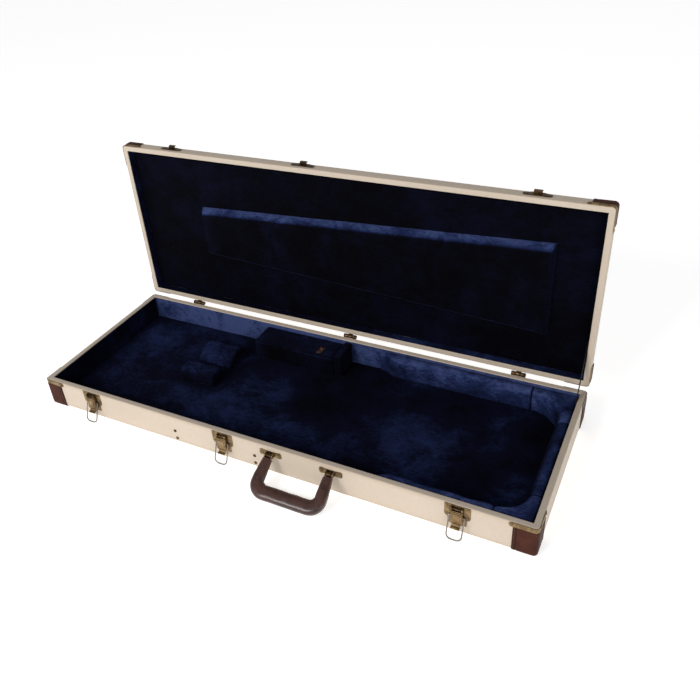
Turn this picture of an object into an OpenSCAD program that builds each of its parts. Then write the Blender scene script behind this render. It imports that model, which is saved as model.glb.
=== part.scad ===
// Rectangular hard case for an electric guitar: a plywood base tray and a
// shallower lid, covered in cream vinyl and lined in blue plush.
// X runs along the case, Y from the latch side to the hinge side, Z up.
// The origin is the centre of the underside. The lid is drawn open.

/* [Case] */
// Length of the case
case_l = 1020; // [980:5:1100]
// Width of the case, from the latch side to the hinge side
case_w = 364; // [350:2:400]
// Height of the base tray, underside to rim
base_h = 63; // [60:1:80]
// Height of the lid, rim to top
lid_h = 25; // [24:1:34]
// Thickness of the plywood side walls, covering included
wall_t = 8; // [7:0.5:10]
// Thickness of the bottom and top panels
panel_t = 5; // [4:0.5:6]
// Outer radius of the four upright corners
corner_r = 6; // [4:0.5:10]
// Angle the lid stands open at, against its stay strap
open_angle = 90; // [80:1:110]

/* [Lining] */
// Thickness of the plush on the walls and under the top panel
lining_t = 3; // [2:0.5:4]
// Thickness of the padded floor
floor_pad_t = 6; // [4:0.5:8]
// Height of the bolsters round the body space
bolster_h = 46; // [38:1:48]
// Thickness of the raised pad in the lid
lid_pad_t = 16; // [8:0.5:16.5]

/* [Accessory box] */
// Left end of the accessory box
box_x0 = -180; // [-200:5:-150]
// Right end of the accessory box
box_x1 = 30; // [10:5:60]
// Front face of the accessory box
box_y0 = 111; // [100:1:120]
// Thickness of the accessory box's flap
flap_t = 5; // [4:0.5:6]

/* [Hardware] */
// Centre of the handle along the case
handle_x = 93; // [60:1:120]
// Distance between the handle's two brackets
handle_span = 121; // [110:1:130]
// Angle the handle hangs below level
handle_droop = 30.5; // [20:0.5:32]
// Width of a latch plate
latch_w = 44; // [40:1:48]
// Length of a latch's wire bail, pivot to crossbar
bail_l = 41.5; // [40:0.5:42]
// Width of a hinge
hinge_w = 28; // [24:1:40]

/* [Hidden] */

CREAM = [0.90, 0.84, 0.74];
BRASS = [0.45, 0.36, 0.22];
STEEL = [0.62, 0.62, 0.62];
BROWN = [0.33, 0.19, 0.15];
PLUSH = [0.12, 0.16, 0.42];
PLY = [0.72, 0.58, 0.40];
BLACK = [0.06, 0.06, 0.07];

tiny = 0.01;
cover_t = 0.6;
rim_gap = 0.5;
half_l = case_l / 2;
half_w = case_w / 2;
lid_z0 = base_h + rim_gap;
lid_z1 = lid_z0 + lid_h;
inner_l = case_l - 2 * wall_t;
inner_w = case_w - 2 * wall_t;
lined_l = inner_l - 2 * lining_t;
lined_w = inner_w - 2 * lining_t;
floor_z = panel_t + floor_pad_t;
roof_z = lid_z1 - panel_t - lining_t;
lining_drop = 1.5;

// Hinge axis, a little behind the back face and level with the rims
hinge_y = half_w + 5.5;
hinge_z = base_h + rim_gap / 2;
hinge_xs = [-379, 16, 379];
barrel_r = 4.2;
hinge_pin_r = 1.6;
knuckle_l = 9.4;
leaf_t = 1.5;

// Latches and catches share these places along the front
latch_xs = [-387, -71, 381];
latch_plate_t = 1.2;
lever_pivot = [4.2, 56.5];
lever_pin_r = 1.25;
bail_pivot = [3.6, 40];
bail_hang = 21.5;
bail_half_w = 13;
wire_r = 1.2;

// Handle pivots
handle_d = 6.5;
handle_z = 48;
handle_pin_r = 1.75;
grip_t = 18;

// Corner protectors
cap_l = 40;
cap_t = 1.2;
strip_l = 47;
strip_h = 10;
strip_t = 1;
base_strip_z = base_h - strip_h - 0.4;
lid_strip_z = lid_z0 + 0.4;
patch_t = 1;

// Turns what is drawn shut about the hinge axis to its open place
module opened() {
    translate([0, hinge_y, hinge_z])
        rotate([-open_angle, 0, 0])
            translate([0, -hinge_y, -hinge_z])
                children();
}

// Outline of the case, drawn in by inset, with round corners
module outline(inset = 0) {
    r = max(corner_r - inset, 0.5);
    hull()
        for (sx = [-1, 1], sy = [-1, 1])
            translate([sx * (half_l - inset - r), sy * (half_w - inset - r)])
                circle(r = r, $fn = 48);
}

module slab(z0, z1, inset = 0) {
    translate([0, 0, z0])
        linear_extrude(z1 - z0)
            outline(inset);
}

// Box given by its lowest and highest corners
module block(low, high) {
    translate(low)
        cube(high - low);
}

// A profile drawn as [distance out from the front face, height], swept along X
module front_profile(points, x0, x1) {
    translate([x0, -half_w, 0])
        rotate([90, 0, 90])
            linear_extrude(x1 - x0)
                polygon([for (p = points) [-p[0], p[1]]]);
}

// Round bar along X, centred on x, at a distance out from the front face
module front_bar(x, place, r, l) {
    translate([x - l / 2, -half_w - place[0], place[1]])
        rotate([0, 90, 0])
            cylinder(r = r, h = l, $fn = 40);
}

// ---------- shells ----------

module long_wall(side, z0, z1) {
    intersection() {
        slab(z0, z1, cover_t);
        block([-half_l, side > 0 ? half_w - wall_t : -half_w, z0 - 1],
              [half_l, side > 0 ? half_w : -half_w + wall_t, z1 + 1]);
    }
}

module end_wall(side, z0, z1) {
    x0 = side > 0 ? half_l - wall_t : -half_l + cover_t;
    x1 = side > 0 ? half_l - cover_t : -half_l + wall_t;
    block([x0, -half_w + wall_t, z0], [x1, half_w - wall_t, z1]);
}

module corner_boxes(l, z0, z1) {
    for (sx = [-1, 1], sy = [-1, 1])
        corner_box(sx, sy, l, z0, z1);
}

module corner_box(sx, sy, l, z0, z1) {
    margin = 4;
    x0 = sx > 0 ? half_l - l : -half_l - margin;
    y0 = sy > 0 ? half_w - l : -half_w - margin;
    block([x0, y0, z0], [x0 + l + margin, y0 + l + margin, z1]);
}

module base_panel() {
    color(PLY)
        difference() {
            slab(0, panel_t, cover_t);
            corner_boxes(cap_l, -1, patch_t);
        }
}

module base_front_wall() { color(PLY) long_wall(-1, panel_t, base_h - cover_t); }
module base_rear_wall() { color(PLY) long_wall(1, panel_t, base_h - cover_t); }
module base_left_wall() { color(PLY) end_wall(-1, panel_t, base_h - cover_t); }
module base_right_wall() { color(PLY) end_wall(1, panel_t, base_h - cover_t); }

module base_covering() {
    color(CREAM)
        difference() {
            slab(patch_t, base_h);
            slab(0, base_h - cover_t, cover_t);
            block([-inner_l / 2, -inner_w / 2, 0], [inner_l / 2, inner_w / 2, base_h + 1]);
        }
}

module lid_panel() { color(PLY) opened() slab(lid_z1 - panel_t, lid_z1 - cover_t, cover_t); }
module lid_front_wall() { color(PLY) opened() long_wall(-1, lid_z0 + cover_t, lid_z1 - panel_t); }
module lid_rear_wall() { color(PLY) opened() long_wall(1, lid_z0 + cover_t, lid_z1 - panel_t); }
module lid_left_wall() { color(PLY) opened() end_wall(-1, lid_z0 + cover_t, lid_z1 - panel_t); }
module lid_right_wall() { color(PLY) opened() end_wall(1, lid_z0 + cover_t, lid_z1 - panel_t); }

module lid_covering() {
    color(CREAM)
        opened()
            difference() {
                slab(lid_z0, lid_z1);
                slab(lid_z0 + cover_t, lid_z1 - cover_t, cover_t);
                block([-inner_l / 2, -inner_w / 2, lid_z0 - 1], [inner_l / 2, inner_w / 2, lid_z0 + 1]);
            }
}

// ---------- linings and pads ----------

module wall_lining(z0, z1) {
    difference() {
        block([-inner_l / 2, -inner_w / 2, z0], [inner_l / 2, inner_w / 2, z1]);
        block([-lined_l / 2, -lined_w / 2, z0 - 1], [lined_l / 2, lined_w / 2, z1 + 1]);
    }
}

module base_wall_lining() { color(PLUSH) wall_lining(panel_t, base_h - lining_drop); }
module lid_wall_lining() { color(PLUSH) opened() wall_lining(lid_z0 + lining_drop, lid_z1 - panel_t); }

module base_floor_lining() {
    color(PLUSH)
        block([-lined_l / 2, -lined_w / 2, panel_t], [lined_l / 2, lined_w / 2, floor_z]);
}

module lid_panel_lining() {
    color(PLUSH)
        opened()
            block([-lined_l / 2, -lined_w / 2, roof_z], [lined_l / 2, lined_w / 2, lid_z1 - panel_t]);
}

bolster_front_w = 21;
bolster_rear_w = 21;
bolster_end_w = 22;
front_edge = -lined_w / 2 + bolster_front_w;
rear_edge = lined_w / 2 - bolster_rear_w;
end_edge = lined_l / 2 - bolster_end_w;

module upright(points) {
    translate([0, 0, floor_z])
        linear_extrude(bolster_h)
            polygon(points);
}

module front_bolster() {
    color(PLUSH)
        upright([[215, -lined_w / 2], [lined_l / 2, -lined_w / 2],
                 [lined_l / 2, front_edge], [250, front_edge]]);
}

// Room that the foam leaves for the stay strap and its lower anchor
module stay_slot() {
    block([lined_l / 2 - 3.4, 134, 46], [lined_l / 2 + 1, 162, base_h]);
}

module rear_bolster() {
    color(PLUSH)
        difference() {
            upright([[box_x1 + 65, lined_w / 2], [box_x1 + 100, rear_edge],
                     [lined_l / 2, rear_edge], [lined_l / 2, lined_w / 2]]);
            stay_slot();
        }
}

module right_bolster() {
    color(PLUSH)
        difference() {
            upright([[end_edge, front_edge], [lined_l / 2, front_edge],
                     [lined_l / 2, rear_edge], [end_edge, rear_edge]]);
            stay_slot();
        }
}

// Fills the inside corner of two bolsters with a hollow curve
module corner_block(y, side, r) {
    translate([end_edge - r, y, floor_z])
        linear_extrude(bolster_h)
            difference() {
                translate([0, side > 0 ? -r : 0])
                    square(r);
                translate([0, -side * r])
                    circle(r = r, $fn = 72);
            }
}

module front_corner_block() { color(PLUSH) corner_block(front_edge, -1, 45); }
module rear_corner_block() { color(PLUSH) corner_block(rear_edge, 1, 62); }

neck_x0 = -292;
neck_x1 = -205;
neck_y = 38;
neck_valley = 6;
neck_top = 29;

// One sloping side of the V that the neck lies in
module neck_cheek(side) {
    foot = 66;
    shoulder = 58;
    lip = 30;
    translate([neck_x0, neck_y, floor_z])
        rotate([90, 0, 90])
            linear_extrude(neck_x1 - neck_x0)
                polygon([[0, 0], [side * foot, 0], [side * shoulder, neck_top],
                         [side * lip, neck_top], [0, neck_valley]]);
}

module neck_rest_front() { color(PLUSH) neck_cheek(-1); }
module neck_rest_rear() { color(PLUSH) neck_cheek(1); }

box_wall = 4;
box_end = 20;
box_top = 49.5;
flap_z = box_top + 0.5;
flap_axis_y = lined_w / 2 - 0.6;

module compartment_front_wall() {
    color(PLUSH)
        block([box_x0, box_y0, floor_z], [box_x1 - box_end, box_y0 + box_wall, box_top]);
}

module compartment_left_wall() {
    color(PLUSH)
        block([box_x0, box_y0 + box_wall, floor_z], [box_x0 + box_wall, lined_w / 2, box_top]);
}

module compartment_right_block() {
    color(PLUSH)
        block([box_x1 - box_end, box_y0, floor_z], [box_x1, lined_w / 2, base_h - 3]);
}

module compartment_flap() {
    color(PLUSH)
        block([box_x0 + 0.5, box_y0 - 0.5, flap_z], [box_x1 - box_end - 0.6, flap_axis_y, flap_z + flap_t]);
}

module flap_pull_tab() {
    tab_x = -25;
    tab_w = 12;
    tab_l = 24;
    color(BROWN)
        block([tab_x - tab_w / 2, box_y0 + 2, flap_z + flap_t],
              [tab_x + tab_w / 2, box_y0 + 2 + tab_l, flap_z + flap_t + 1.4]);
}

// The raised pad narrows towards the neck
pad_x0 = -335;
pad_x1 = 422;
pad_half_neck = 56;
pad_half_body = 95;
pad_side_bevel = 12;
pad_end_bevel = 5;

module pad_outline(side_inset, end_inset) {
    x0 = pad_x0 + end_inset;
    x1 = pad_x1 - end_inset;
    y0 = pad_half_neck - side_inset;
    y1 = pad_half_body - side_inset;
    polygon([[x0, -y0], [x1, -y1], [x1, y1], [x0, y0]]);
}

module lid_pad() {
    sheet = 1;
    color(PLUSH)
        opened()
            hull() {
                translate([0, 0, roof_z - sheet])
                    linear_extrude(sheet)
                        pad_outline(0, 0);
                translate([0, 0, roof_z - lid_pad_t])
                    linear_extrude(sheet)
                        pad_outline(pad_side_bevel, pad_end_bevel);
            }
}

// ---------- corner protectors ----------

module wrapped_corners(l, t, z0, z1) {
    intersection() {
        difference() {
            slab(z0, z1, -t);
            slab(z0 - 1, z1 + 1, 0);
        }
        corner_boxes(l, z0, z1);
    }
}

module corner_patches(z0, z1) {
    intersection() {
        slab(z0, z1, -cap_t);
        corner_boxes(cap_l, z0, z1);
    }
}

module base_corner_caps() {
    color(BROWN)
        union() {
            wrapped_corners(cap_l, cap_t, patch_t / 2, base_strip_z - 0.2);
            corner_patches(0, patch_t);
        }
}

module base_corner_strips() {
    color(BRASS)
        wrapped_corners(strip_l, strip_t, base_strip_z, base_strip_z + strip_h);
}

module lid_corner_caps() {
    color(BROWN)
        opened()
            union() {
                wrapped_corners(cap_l, cap_t, lid_strip_z + strip_h + 0.2, lid_z1 + patch_t / 2);
                corner_patches(lid_z1, lid_z1 + patch_t);
            }
}

module lid_corner_strips() {
    color(BRASS)
        opened()
            wrapped_corners(strip_l, strip_t, lid_strip_z, lid_strip_z + strip_h);
}

// Round nail heads on the strips, two on each leg
module strip_nails(z) {
    head_r = 1.8;
    head_h = 0.9;
    for (sx = [-1, 1], in = [12, strip_l - 5]) {
        for (sy = [-1, 1])
            translate([sx * (half_l - in), sy * (half_w + strip_t), z])
                rotate([-sy * 90, 0, 0])
                    cylinder(r = head_r, h = head_h, $fn = 24);
        for (sy = [-1, 1])
            translate([sx * (half_l + strip_t), sy * (half_w - in), z])
                rotate([0, sx * 90, 0])
                    cylinder(r = head_r, h = head_h, $fn = 24);
    }
}

// ---------- latches and catches ----------

plate_top = base_h - 0.8;
plate_low = 20;
plate_step = 35;
lower_w = 33;
ear_r = 2.6;
ear_x = 7.6;
ear_t = 1.2;

module latch_plate(x) {
    half = latch_w / 2;
    low_half = lower_w / 2;
    color(BRASS)
        union() {
            translate([x, -half_w, 0])
                rotate([90, 0, 0])
                    linear_extrude(latch_plate_t)
                        polygon([[-half, plate_top], [half, plate_top], [half, plate_step + 4],
                                 [half - 2, plate_step], [low_half, plate_step - 1.5],
                                 [low_half - 1, plate_low], [-low_half + 1, plate_low],
                                 [-low_half, plate_step - 1.5], [-half + 2, plate_step],
                                 [-half, plate_step + 4]]);
            for (side = [-1, 1])
                latch_ear(x + side * (ear_x + ear_t / 2));
        }
}

module latch_ear(x) {
    difference() {
        union() {
            front_bar(x, lever_pivot, ear_r, ear_t);
            front_profile([[latch_plate_t - tiny, lever_pivot[1] - ear_r],
                           [lever_pivot[0], lever_pivot[1] - ear_r],
                           [lever_pivot[0], lever_pivot[1] + ear_r],
                           [latch_plate_t - tiny, lever_pivot[1] + ear_r]],
                          x - ear_t / 2, x + ear_t / 2);
        }
        front_bar(x, lever_pivot, lever_pin_r, 2 * ear_t);
    }
}

module left_latch_plate() { latch_plate(latch_xs[0]); }
module middle_latch_plate() { latch_plate(latch_xs[1]); }
module right_latch_plate() { latch_plate(latch_xs[2]); }

flange_x = 9.1;
flange_t = 1.2;
lever_half = flange_x + flange_t;

module latch_pivot_pins() {
    color(STEEL)
        for (x = latch_xs)
            front_bar(x, lever_pivot, lever_pin_r, 2 * lever_half + 0.6);
}

face_d = 5.2;
face_t = 1;
face_top = 52.9;
face_low = 25;

module latch_lever(x) {
    clearance = 0.07;
    back_d = 1.7;
    color(BRASS)
        difference() {
            union() {
                block([x - lever_half, -half_w - face_d - face_t, face_low],
                      [x + lever_half, -half_w - face_d, face_top]);
                for (side = [-1, 1])
                    lever_flange(x + side * (flange_x + flange_t / 2), back_d);
                emboss(x);
                front_profile([[face_d, face_low + tiny], [face_d + 1.4, face_low + tiny],
                               [face_d + 3.2, face_low - 3.2], [face_d + 8, face_low - 4.6],
                               [face_d + 8, face_low - 5.8], [face_d + 2.6, face_low - 4.6],
                               [face_d, face_low - 1.6]],
                              x - 7.5, x + 7.5);
            }
            front_bar(x, lever_pivot, lever_pin_r + clearance, 3 * lever_half);
            front_bar(x, bail_pivot, wire_r + clearance, 3 * lever_half);
        }
}

module lever_flange(x, back_d) {
    union() {
        front_bar(x, lever_pivot, ear_r, flange_t);
        front_profile([[back_d, lever_pivot[1]], [lever_pivot[0] + ear_r - 0.4, lever_pivot[1]],
                       [face_d + tiny, face_top], [face_d + tiny, face_low], [back_d + 2, face_low],
                       [back_d, face_low + 6]],
                      x - flange_t / 2, x + flange_t / 2);
    }
}

// Two raised steps in the middle of the lever's face
module emboss(x) {
    wide = 8.8;
    block([x - wide, -half_w - face_d - face_t - 0.7, face_low + 7],
          [x + wide, -half_w - face_d - face_t + tiny, face_top - 2.4]);
    block([x - wide + 3, -half_w - face_d - face_t - 1.3, face_low + 10],
          [x + wide - 3, -half_w - face_d - face_t - 0.7 + tiny, face_top - 5.4]);
}

module left_latch_lever() { latch_lever(latch_xs[0]); }
module middle_latch_lever() { latch_lever(latch_xs[1]); }
module right_latch_lever() { latch_lever(latch_xs[2]); }

bend_r = 9;

// Wire loop: two hooks into the lever, two legs, two bends and a crossbar
module latch_bail(x) {
    hook_x = flange_x + 0.2;
    straight = bail_l - bend_r;
    color(STEEL)
        translate([x, -half_w - bail_pivot[0], bail_pivot[1]])
            rotate([-bail_hang, 0, 0])
                union() {
                    for (side = [-1, 1]) {
                        translate([side > 0 ? hook_x : -bail_half_w, 0, 0])
                            rotate([0, 90, 0])
                                cylinder(r = wire_r, h = bail_half_w - hook_x, $fn = 24);
                        translate([side * bail_half_w, 0, 0])
                            sphere(r = wire_r, $fn = 24);
                        translate([side * bail_half_w, 0, -straight])
                            cylinder(r = wire_r, h = straight, $fn = 24);
                        translate([side * (bail_half_w - bend_r), 0, -straight])
                            rotate([90, 0, 0])
                                rotate([0, 0, side > 0 ? -90 : 180])
                                    rotate_extrude(angle = 90, $fn = 48)
                                        translate([bend_r, 0])
                                            circle(r = wire_r, $fn = 24);
                    }
                    translate([-bail_half_w + bend_r, 0, -bail_l])
                        rotate([0, 90, 0])
                            cylinder(r = wire_r, h = 2 * (bail_half_w - bend_r), $fn = 24);
                }
}

module left_latch_bail() { latch_bail(latch_xs[0]); }
module middle_latch_bail() { latch_bail(latch_xs[1]); }
module right_latch_bail() { latch_bail(latch_xs[2]); }

hook_top = bail_pivot[1] + bail_l - wire_r;

// Plate with an upturned hook that the bail's crossbar drops behind
module catch(x) {
    half = 25;
    low = hook_top - 9;
    high = hook_top + 5;
    lip_d = 5.4;
    lip_t = 1.4;
    color(BRASS)
        opened()
            union() {
                translate([x, -half_w, 0])
                    rotate([90, 0, 0])
                        linear_extrude(latch_plate_t)
                            polygon([[-half, low + 2], [-half + 4, low], [half - 4, low], [half, low + 2],
                                     [half, low + 8], [10, high], [-10, high], [-half, low + 8]]);
                front_profile([[latch_plate_t - tiny, hook_top - 1.6], [lip_d + lip_t, hook_top - 1.6],
                               [lip_d + lip_t, hook_top + 4], [lip_d, hook_top + 4],
                               [lip_d, hook_top], [latch_plate_t - tiny, hook_top]],
                              x - 7.5, x + 7.5);
            }
}

module left_catch() { catch(latch_xs[0]); }
module middle_catch() { catch(latch_xs[1]); }
module right_catch() { catch(latch_xs[2]); }

// ---------- hinges ----------

// Barrel pieces and the flat leaf behind them; side is -1 for the base
module hinge_leaf(x, side, knuckles, bore_r) {
    plate_from = 3.25;
    plate_to = 21;
    difference() {
        union() {
            block([x - hinge_w / 2, half_w, side > 0 ? hinge_z + plate_from : hinge_z - plate_to],
                  [x + hinge_w / 2, half_w + leaf_t, side > 0 ? hinge_z + plate_to : hinge_z - plate_from]);
            for (k = knuckles)
                hinge_knuckle(x, side, k);
        }
        translate([x - hinge_w, hinge_y, hinge_z])
            rotate([0, 90, 0])
                cylinder(r = bore_r, h = 2 * hinge_w, $fn = 40);
    }
}

module hinge_knuckle(x, side, k) {
    web_t = 3.2;
    translate([x + k[0], hinge_y, hinge_z]) {
        rotate([0, 90, 0])
            cylinder(r = barrel_r, h = k[1] - k[0], $fn = 48);
        rotate([90, 0, 90])
            linear_extrude(k[1] - k[0])
                polygon([[-5.5, side * 3.3], [-4, side * 0.6], [-0.6, side * (barrel_r - 1)],
                         [-3.4, side * (web_t + 2.4)], [-5.5 + leaf_t, side * 6.5], [-5.5, side * 6.5]]);
    }
}

module hinge_base_leaves() {
    outer = hinge_w / 2;
    color(BRASS)
        for (x = hinge_xs)
            hinge_leaf(x, -1, [[-outer, -knuckle_l / 2 - 0.3], [knuckle_l / 2 + 0.3, outer]],
                       hinge_pin_r + 0.02);
}

module hinge_lid_leaves() {
    color(BRASS)
        opened()
            for (x = hinge_xs)
                hinge_leaf(x, 1, [[-knuckle_l / 2, knuckle_l / 2]], hinge_pin_r + 0.06);
}

module hinge_pins() {
    color(STEEL)
        for (x = hinge_xs)
            translate([x - hinge_w / 2 - 0.5, hinge_y, hinge_z])
                rotate([0, 90, 0])
                    cylinder(r = hinge_pin_r, h = hinge_w + 1, $fn = 40);
}

// ---------- handle ----------

bracket_half = 22;
bracket_t = 1.5;
handle_ear_r = 4;
handle_ear_x = 6.2;
handle_ear_t = 2;

module handle_bracket(x) {
    place = [handle_d, handle_z];
    color(BRASS)
        union() {
            translate([x, -half_w, handle_z])
                rotate([90, 0, 0])
                    linear_extrude(bracket_t)
                        polygon([[-bracket_half, -4.5], [-bracket_half + 3, -6.5], [-10, -5.4], [10, -5.4],
                                 [bracket_half - 3, -6.5], [bracket_half, -4.5], [bracket_half, 4.5],
                                 [bracket_half - 3, 6.5], [10, 5.4], [-10, 5.4],
                                 [-bracket_half + 3, 6.5], [-bracket_half, 4.5]]);
            for (side = [-1, 1])
                bracket_ear(x + side * (handle_ear_x + handle_ear_t / 2));
            front_bar(x, place, handle_pin_r, 2 * (handle_ear_x + handle_ear_t) + 1);
        }
}

module bracket_ear(x) {
    front_bar(x, [handle_d, handle_z], handle_ear_r, handle_ear_t);
    front_profile([[bracket_t - tiny, handle_z - handle_ear_r], [handle_d, handle_z - handle_ear_r],
                   [handle_d, handle_z + handle_ear_r], [bracket_t - tiny, handle_z + handle_ear_r]],
                  x - handle_ear_t / 2, x + handle_ear_t / 2);
}

module left_handle_bracket() { handle_bracket(handle_x - handle_span / 2); }
module right_handle_bracket() { handle_bracket(handle_x + handle_span / 2); }

// Handle frame: X along the case, -Y out from the pivots, turned down to hang
module hung() {
    translate([handle_x, -half_w - handle_d, handle_z])
        rotate([handle_droop, 0, 0])
            children();
}

// U outline: half width, reach from the pivots, corner radius, and half width at the top
module u_shape(half, reach, r, from, top_half) {
    difference() {
        hull() {
            translate([-top_half, -from - 1])
                square([2 * top_half, 1]);
            for (side = [-1, 1])
                translate([side * (half - r), -reach + r])
                    circle(r = r, $fn = 64);
        }
        translate([-half - 1, -from])
            square([2 * half + 2, 10]);
    }
}

core_from = 8;
grip_from = 9;
core_t = 3;

module core_band(grow = 0) {
    difference() {
        u_shape(handle_span / 2 + 4 + grow, 68 + grow, 18.5 + grow, core_from, handle_span / 2 + 4 + grow);
        u_shape(handle_span / 2 - 4 - grow, 60 - grow, 12 - grow, core_from - 2, handle_span / 2 - 4 - grow);
    }
}

module handle_core() {
    eye_half = 5.5;
    color(STEEL)
        hung()
            union() {
                translate([0, 0, -core_t / 2])
                    linear_extrude(core_t)
                        core_band();
                for (side = [-1, 1])
                    difference() {
                        union() {
                            translate([side * handle_span / 2 - eye_half, 0, 0])
                                rotate([0, 90, 0])
                                    cylinder(r = handle_ear_r, h = 2 * eye_half, $fn = 40);
                            block([side * handle_span / 2 - 4, -core_from - 1, -core_t / 2],
                                  [side * handle_span / 2 + 4, -2.5, core_t / 2]);
                        }
                        translate([side * handle_span / 2 - 2 * eye_half, 0, 0])
                            rotate([0, 90, 0])
                                cylinder(r = handle_pin_r + 0.08, h = 4 * eye_half, $fn = 40);
                    }
            }
}

module handle_grip() {
    color(BROWN)
        hung()
            difference() {
                translate([0, 0, -grip_t / 2])
                    linear_extrude(grip_t)
                        difference() {
                            u_shape(handle_span / 2 + 13, 78, 26, grip_from, handle_span / 2 + 6);
                            u_shape(handle_span / 2 - 9, 51, 12, grip_from - 2, handle_span / 2 - 6);
                        }
                translate([0, 0, -core_t / 2])
                    linear_extrude(core_t)
                        core_band();
            }
}

// ---------- fasteners ----------

module front_heads(places, r, d0, h) {
    for (p = places)
        translate([p[0], -half_w - d0, p[1]])
            rotate([90, 0, 0])
                cylinder(r = r, h = h, $fn = 24);
}

module rear_heads(places, r) {
    for (p = places)
        translate([p[0], half_w + leaf_t, p[1]])
            rotate([-90, 0, 0])
                cylinder(r = r, h = 0.8, $fn = 24);
}

module base_screws() {
    latch_screws = [for (x = latch_xs, dx = [-17.5, 17.5], z = [plate_top - 4, plate_step + 6]) [x + dx, z]];
    bracket_screws = [for (s = [-1, 1], dx = [-16.5, 16.5]) [handle_x + s * handle_span / 2 + dx, handle_z]];
    hinge_screws = [for (x = hinge_xs, dx = [-9, 0, 9]) [x + dx, hinge_z - 15]];
    color(BRASS)
        union() {
            front_heads(latch_screws, 1.8, latch_plate_t, 0.8);
            front_heads(bracket_screws, 2.6, bracket_t, 1);
            rear_heads(hinge_screws, 2.2);
            strip_nails(base_strip_z + strip_h / 2);
        }
}

module lid_screws() {
    catch_screws = [for (x = latch_xs, dx = [-17, 17]) [x + dx, hook_top - 4]];
    hinge_screws = [for (x = hinge_xs, dx = [-9, 0, 9]) [x + dx, hinge_z + 15]];
    color(BRASS)
        opened()
            union() {
                front_heads(catch_screws, 1.8, latch_plate_t, 0.8);
                rear_heads(hinge_screws, 2.2);
                strip_nails(lid_strip_z + strip_h / 2);
            }
}

// Rivets that hold the inner blocks, seen on the front face in two pairs
module front_rivets() {
    color(BRASS)
        front_heads([[-184, 29], [-182, 11.5], [-4, 29.5], [-4, 12]], 2.4, 0, 1.2);
}

// ---------- stay strap ----------

stay_base = [148, base_h - 5.5];
stay_lid = [92, 72];
stay_w = 14;
anchor_t = 1.4;

module anchor(place, h) {
    block([lined_l / 2 - anchor_t, place[0] - stay_w / 2 - 2, place[1] - h / 2],
          [lined_l / 2, place[0] + stay_w / 2 + 2, place[1] + h / 2]);
}

module stay_base_anchor() { color(BRASS) anchor(stay_base, 7); }
module stay_lid_anchor() { color(BRASS) opened() anchor(stay_lid, 9); }

// Flat webbing between the two anchors, along the right end wall
module lid_stay_strap() {
    strap_t = 1.2;
    from = stay_base;
    lid_dy = stay_lid[0] - hinge_y;
    lid_dz = stay_lid[1] - hinge_z;
    to = [hinge_y + lid_dy * cos(open_angle) + lid_dz * sin(open_angle),
          hinge_z - lid_dy * sin(open_angle) + lid_dz * cos(open_angle)];
    run = to - from;
    color(BLACK)
        translate([lined_l / 2 - anchor_t - strap_t, from[0], from[1]])
            rotate([atan2(run[1], run[0]), 0, 0])
                block([0, -3, -stay_w / 2], [strap_t, norm(run) + 3, stay_w / 2]);
}

base_panel();
base_front_wall();
base_rear_wall();
base_left_wall();
base_right_wall();
base_covering();
base_floor_lining();
base_wall_lining();
front_bolster();
right_bolster();
rear_bolster();
front_corner_block();
rear_corner_block();
neck_rest_front();
neck_rest_rear();
compartment_front_wall();
compartment_left_wall();
compartment_right_block();
base_corner_caps();
base_corner_strips();
base_screws();
front_rivets();
left_latch_plate();
middle_latch_plate();
right_latch_plate();
latch_pivot_pins();
hinge_base_leaves();
hinge_pins();
left_handle_bracket();
right_handle_bracket();
stay_base_anchor();
lid_panel();
lid_front_wall();
lid_rear_wall();
lid_left_wall();
lid_right_wall();
lid_covering();
lid_panel_lining();
lid_wall_lining();
lid_pad();
lid_corner_caps();
lid_corner_strips();
lid_screws();
left_catch();
middle_catch();
right_catch();
hinge_lid_leaves();
stay_lid_anchor();
lid_stay_strap();
handle_core();
handle_grip();
left_latch_lever();
middle_latch_lever();
right_latch_lever();
left_latch_bail();
middle_latch_bail();
right_latch_bail();
compartment_flap();
flap_pull_tab();
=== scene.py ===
"""Looks of the open guitar case: coverings, plush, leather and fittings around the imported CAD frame."""

import math

import bmesh
import bpy
import numpy as np
from mathutils import Matrix, Vector


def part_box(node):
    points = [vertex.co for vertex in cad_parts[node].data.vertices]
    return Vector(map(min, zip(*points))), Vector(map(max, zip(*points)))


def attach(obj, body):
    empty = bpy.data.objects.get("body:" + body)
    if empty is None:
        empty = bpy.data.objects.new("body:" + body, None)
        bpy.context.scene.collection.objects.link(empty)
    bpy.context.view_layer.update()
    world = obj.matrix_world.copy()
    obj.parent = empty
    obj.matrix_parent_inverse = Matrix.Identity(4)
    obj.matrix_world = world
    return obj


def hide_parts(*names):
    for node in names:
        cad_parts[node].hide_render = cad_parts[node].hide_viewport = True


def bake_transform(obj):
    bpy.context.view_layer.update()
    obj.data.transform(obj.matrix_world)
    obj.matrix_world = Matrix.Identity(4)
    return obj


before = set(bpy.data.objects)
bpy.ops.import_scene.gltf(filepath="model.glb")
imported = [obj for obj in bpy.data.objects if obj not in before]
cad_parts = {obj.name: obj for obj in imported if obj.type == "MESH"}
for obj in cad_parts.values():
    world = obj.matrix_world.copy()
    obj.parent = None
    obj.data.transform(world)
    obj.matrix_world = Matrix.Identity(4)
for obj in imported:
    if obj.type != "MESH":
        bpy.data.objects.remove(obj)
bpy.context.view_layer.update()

MM = 0.001
SCENE = bpy.context.scene


def box_mm(node):
    low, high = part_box(node)
    return np.array(low) / MM, np.array(high) / MM


# ---------- sizes, all in millimetres, taken from the frame ----------

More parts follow.
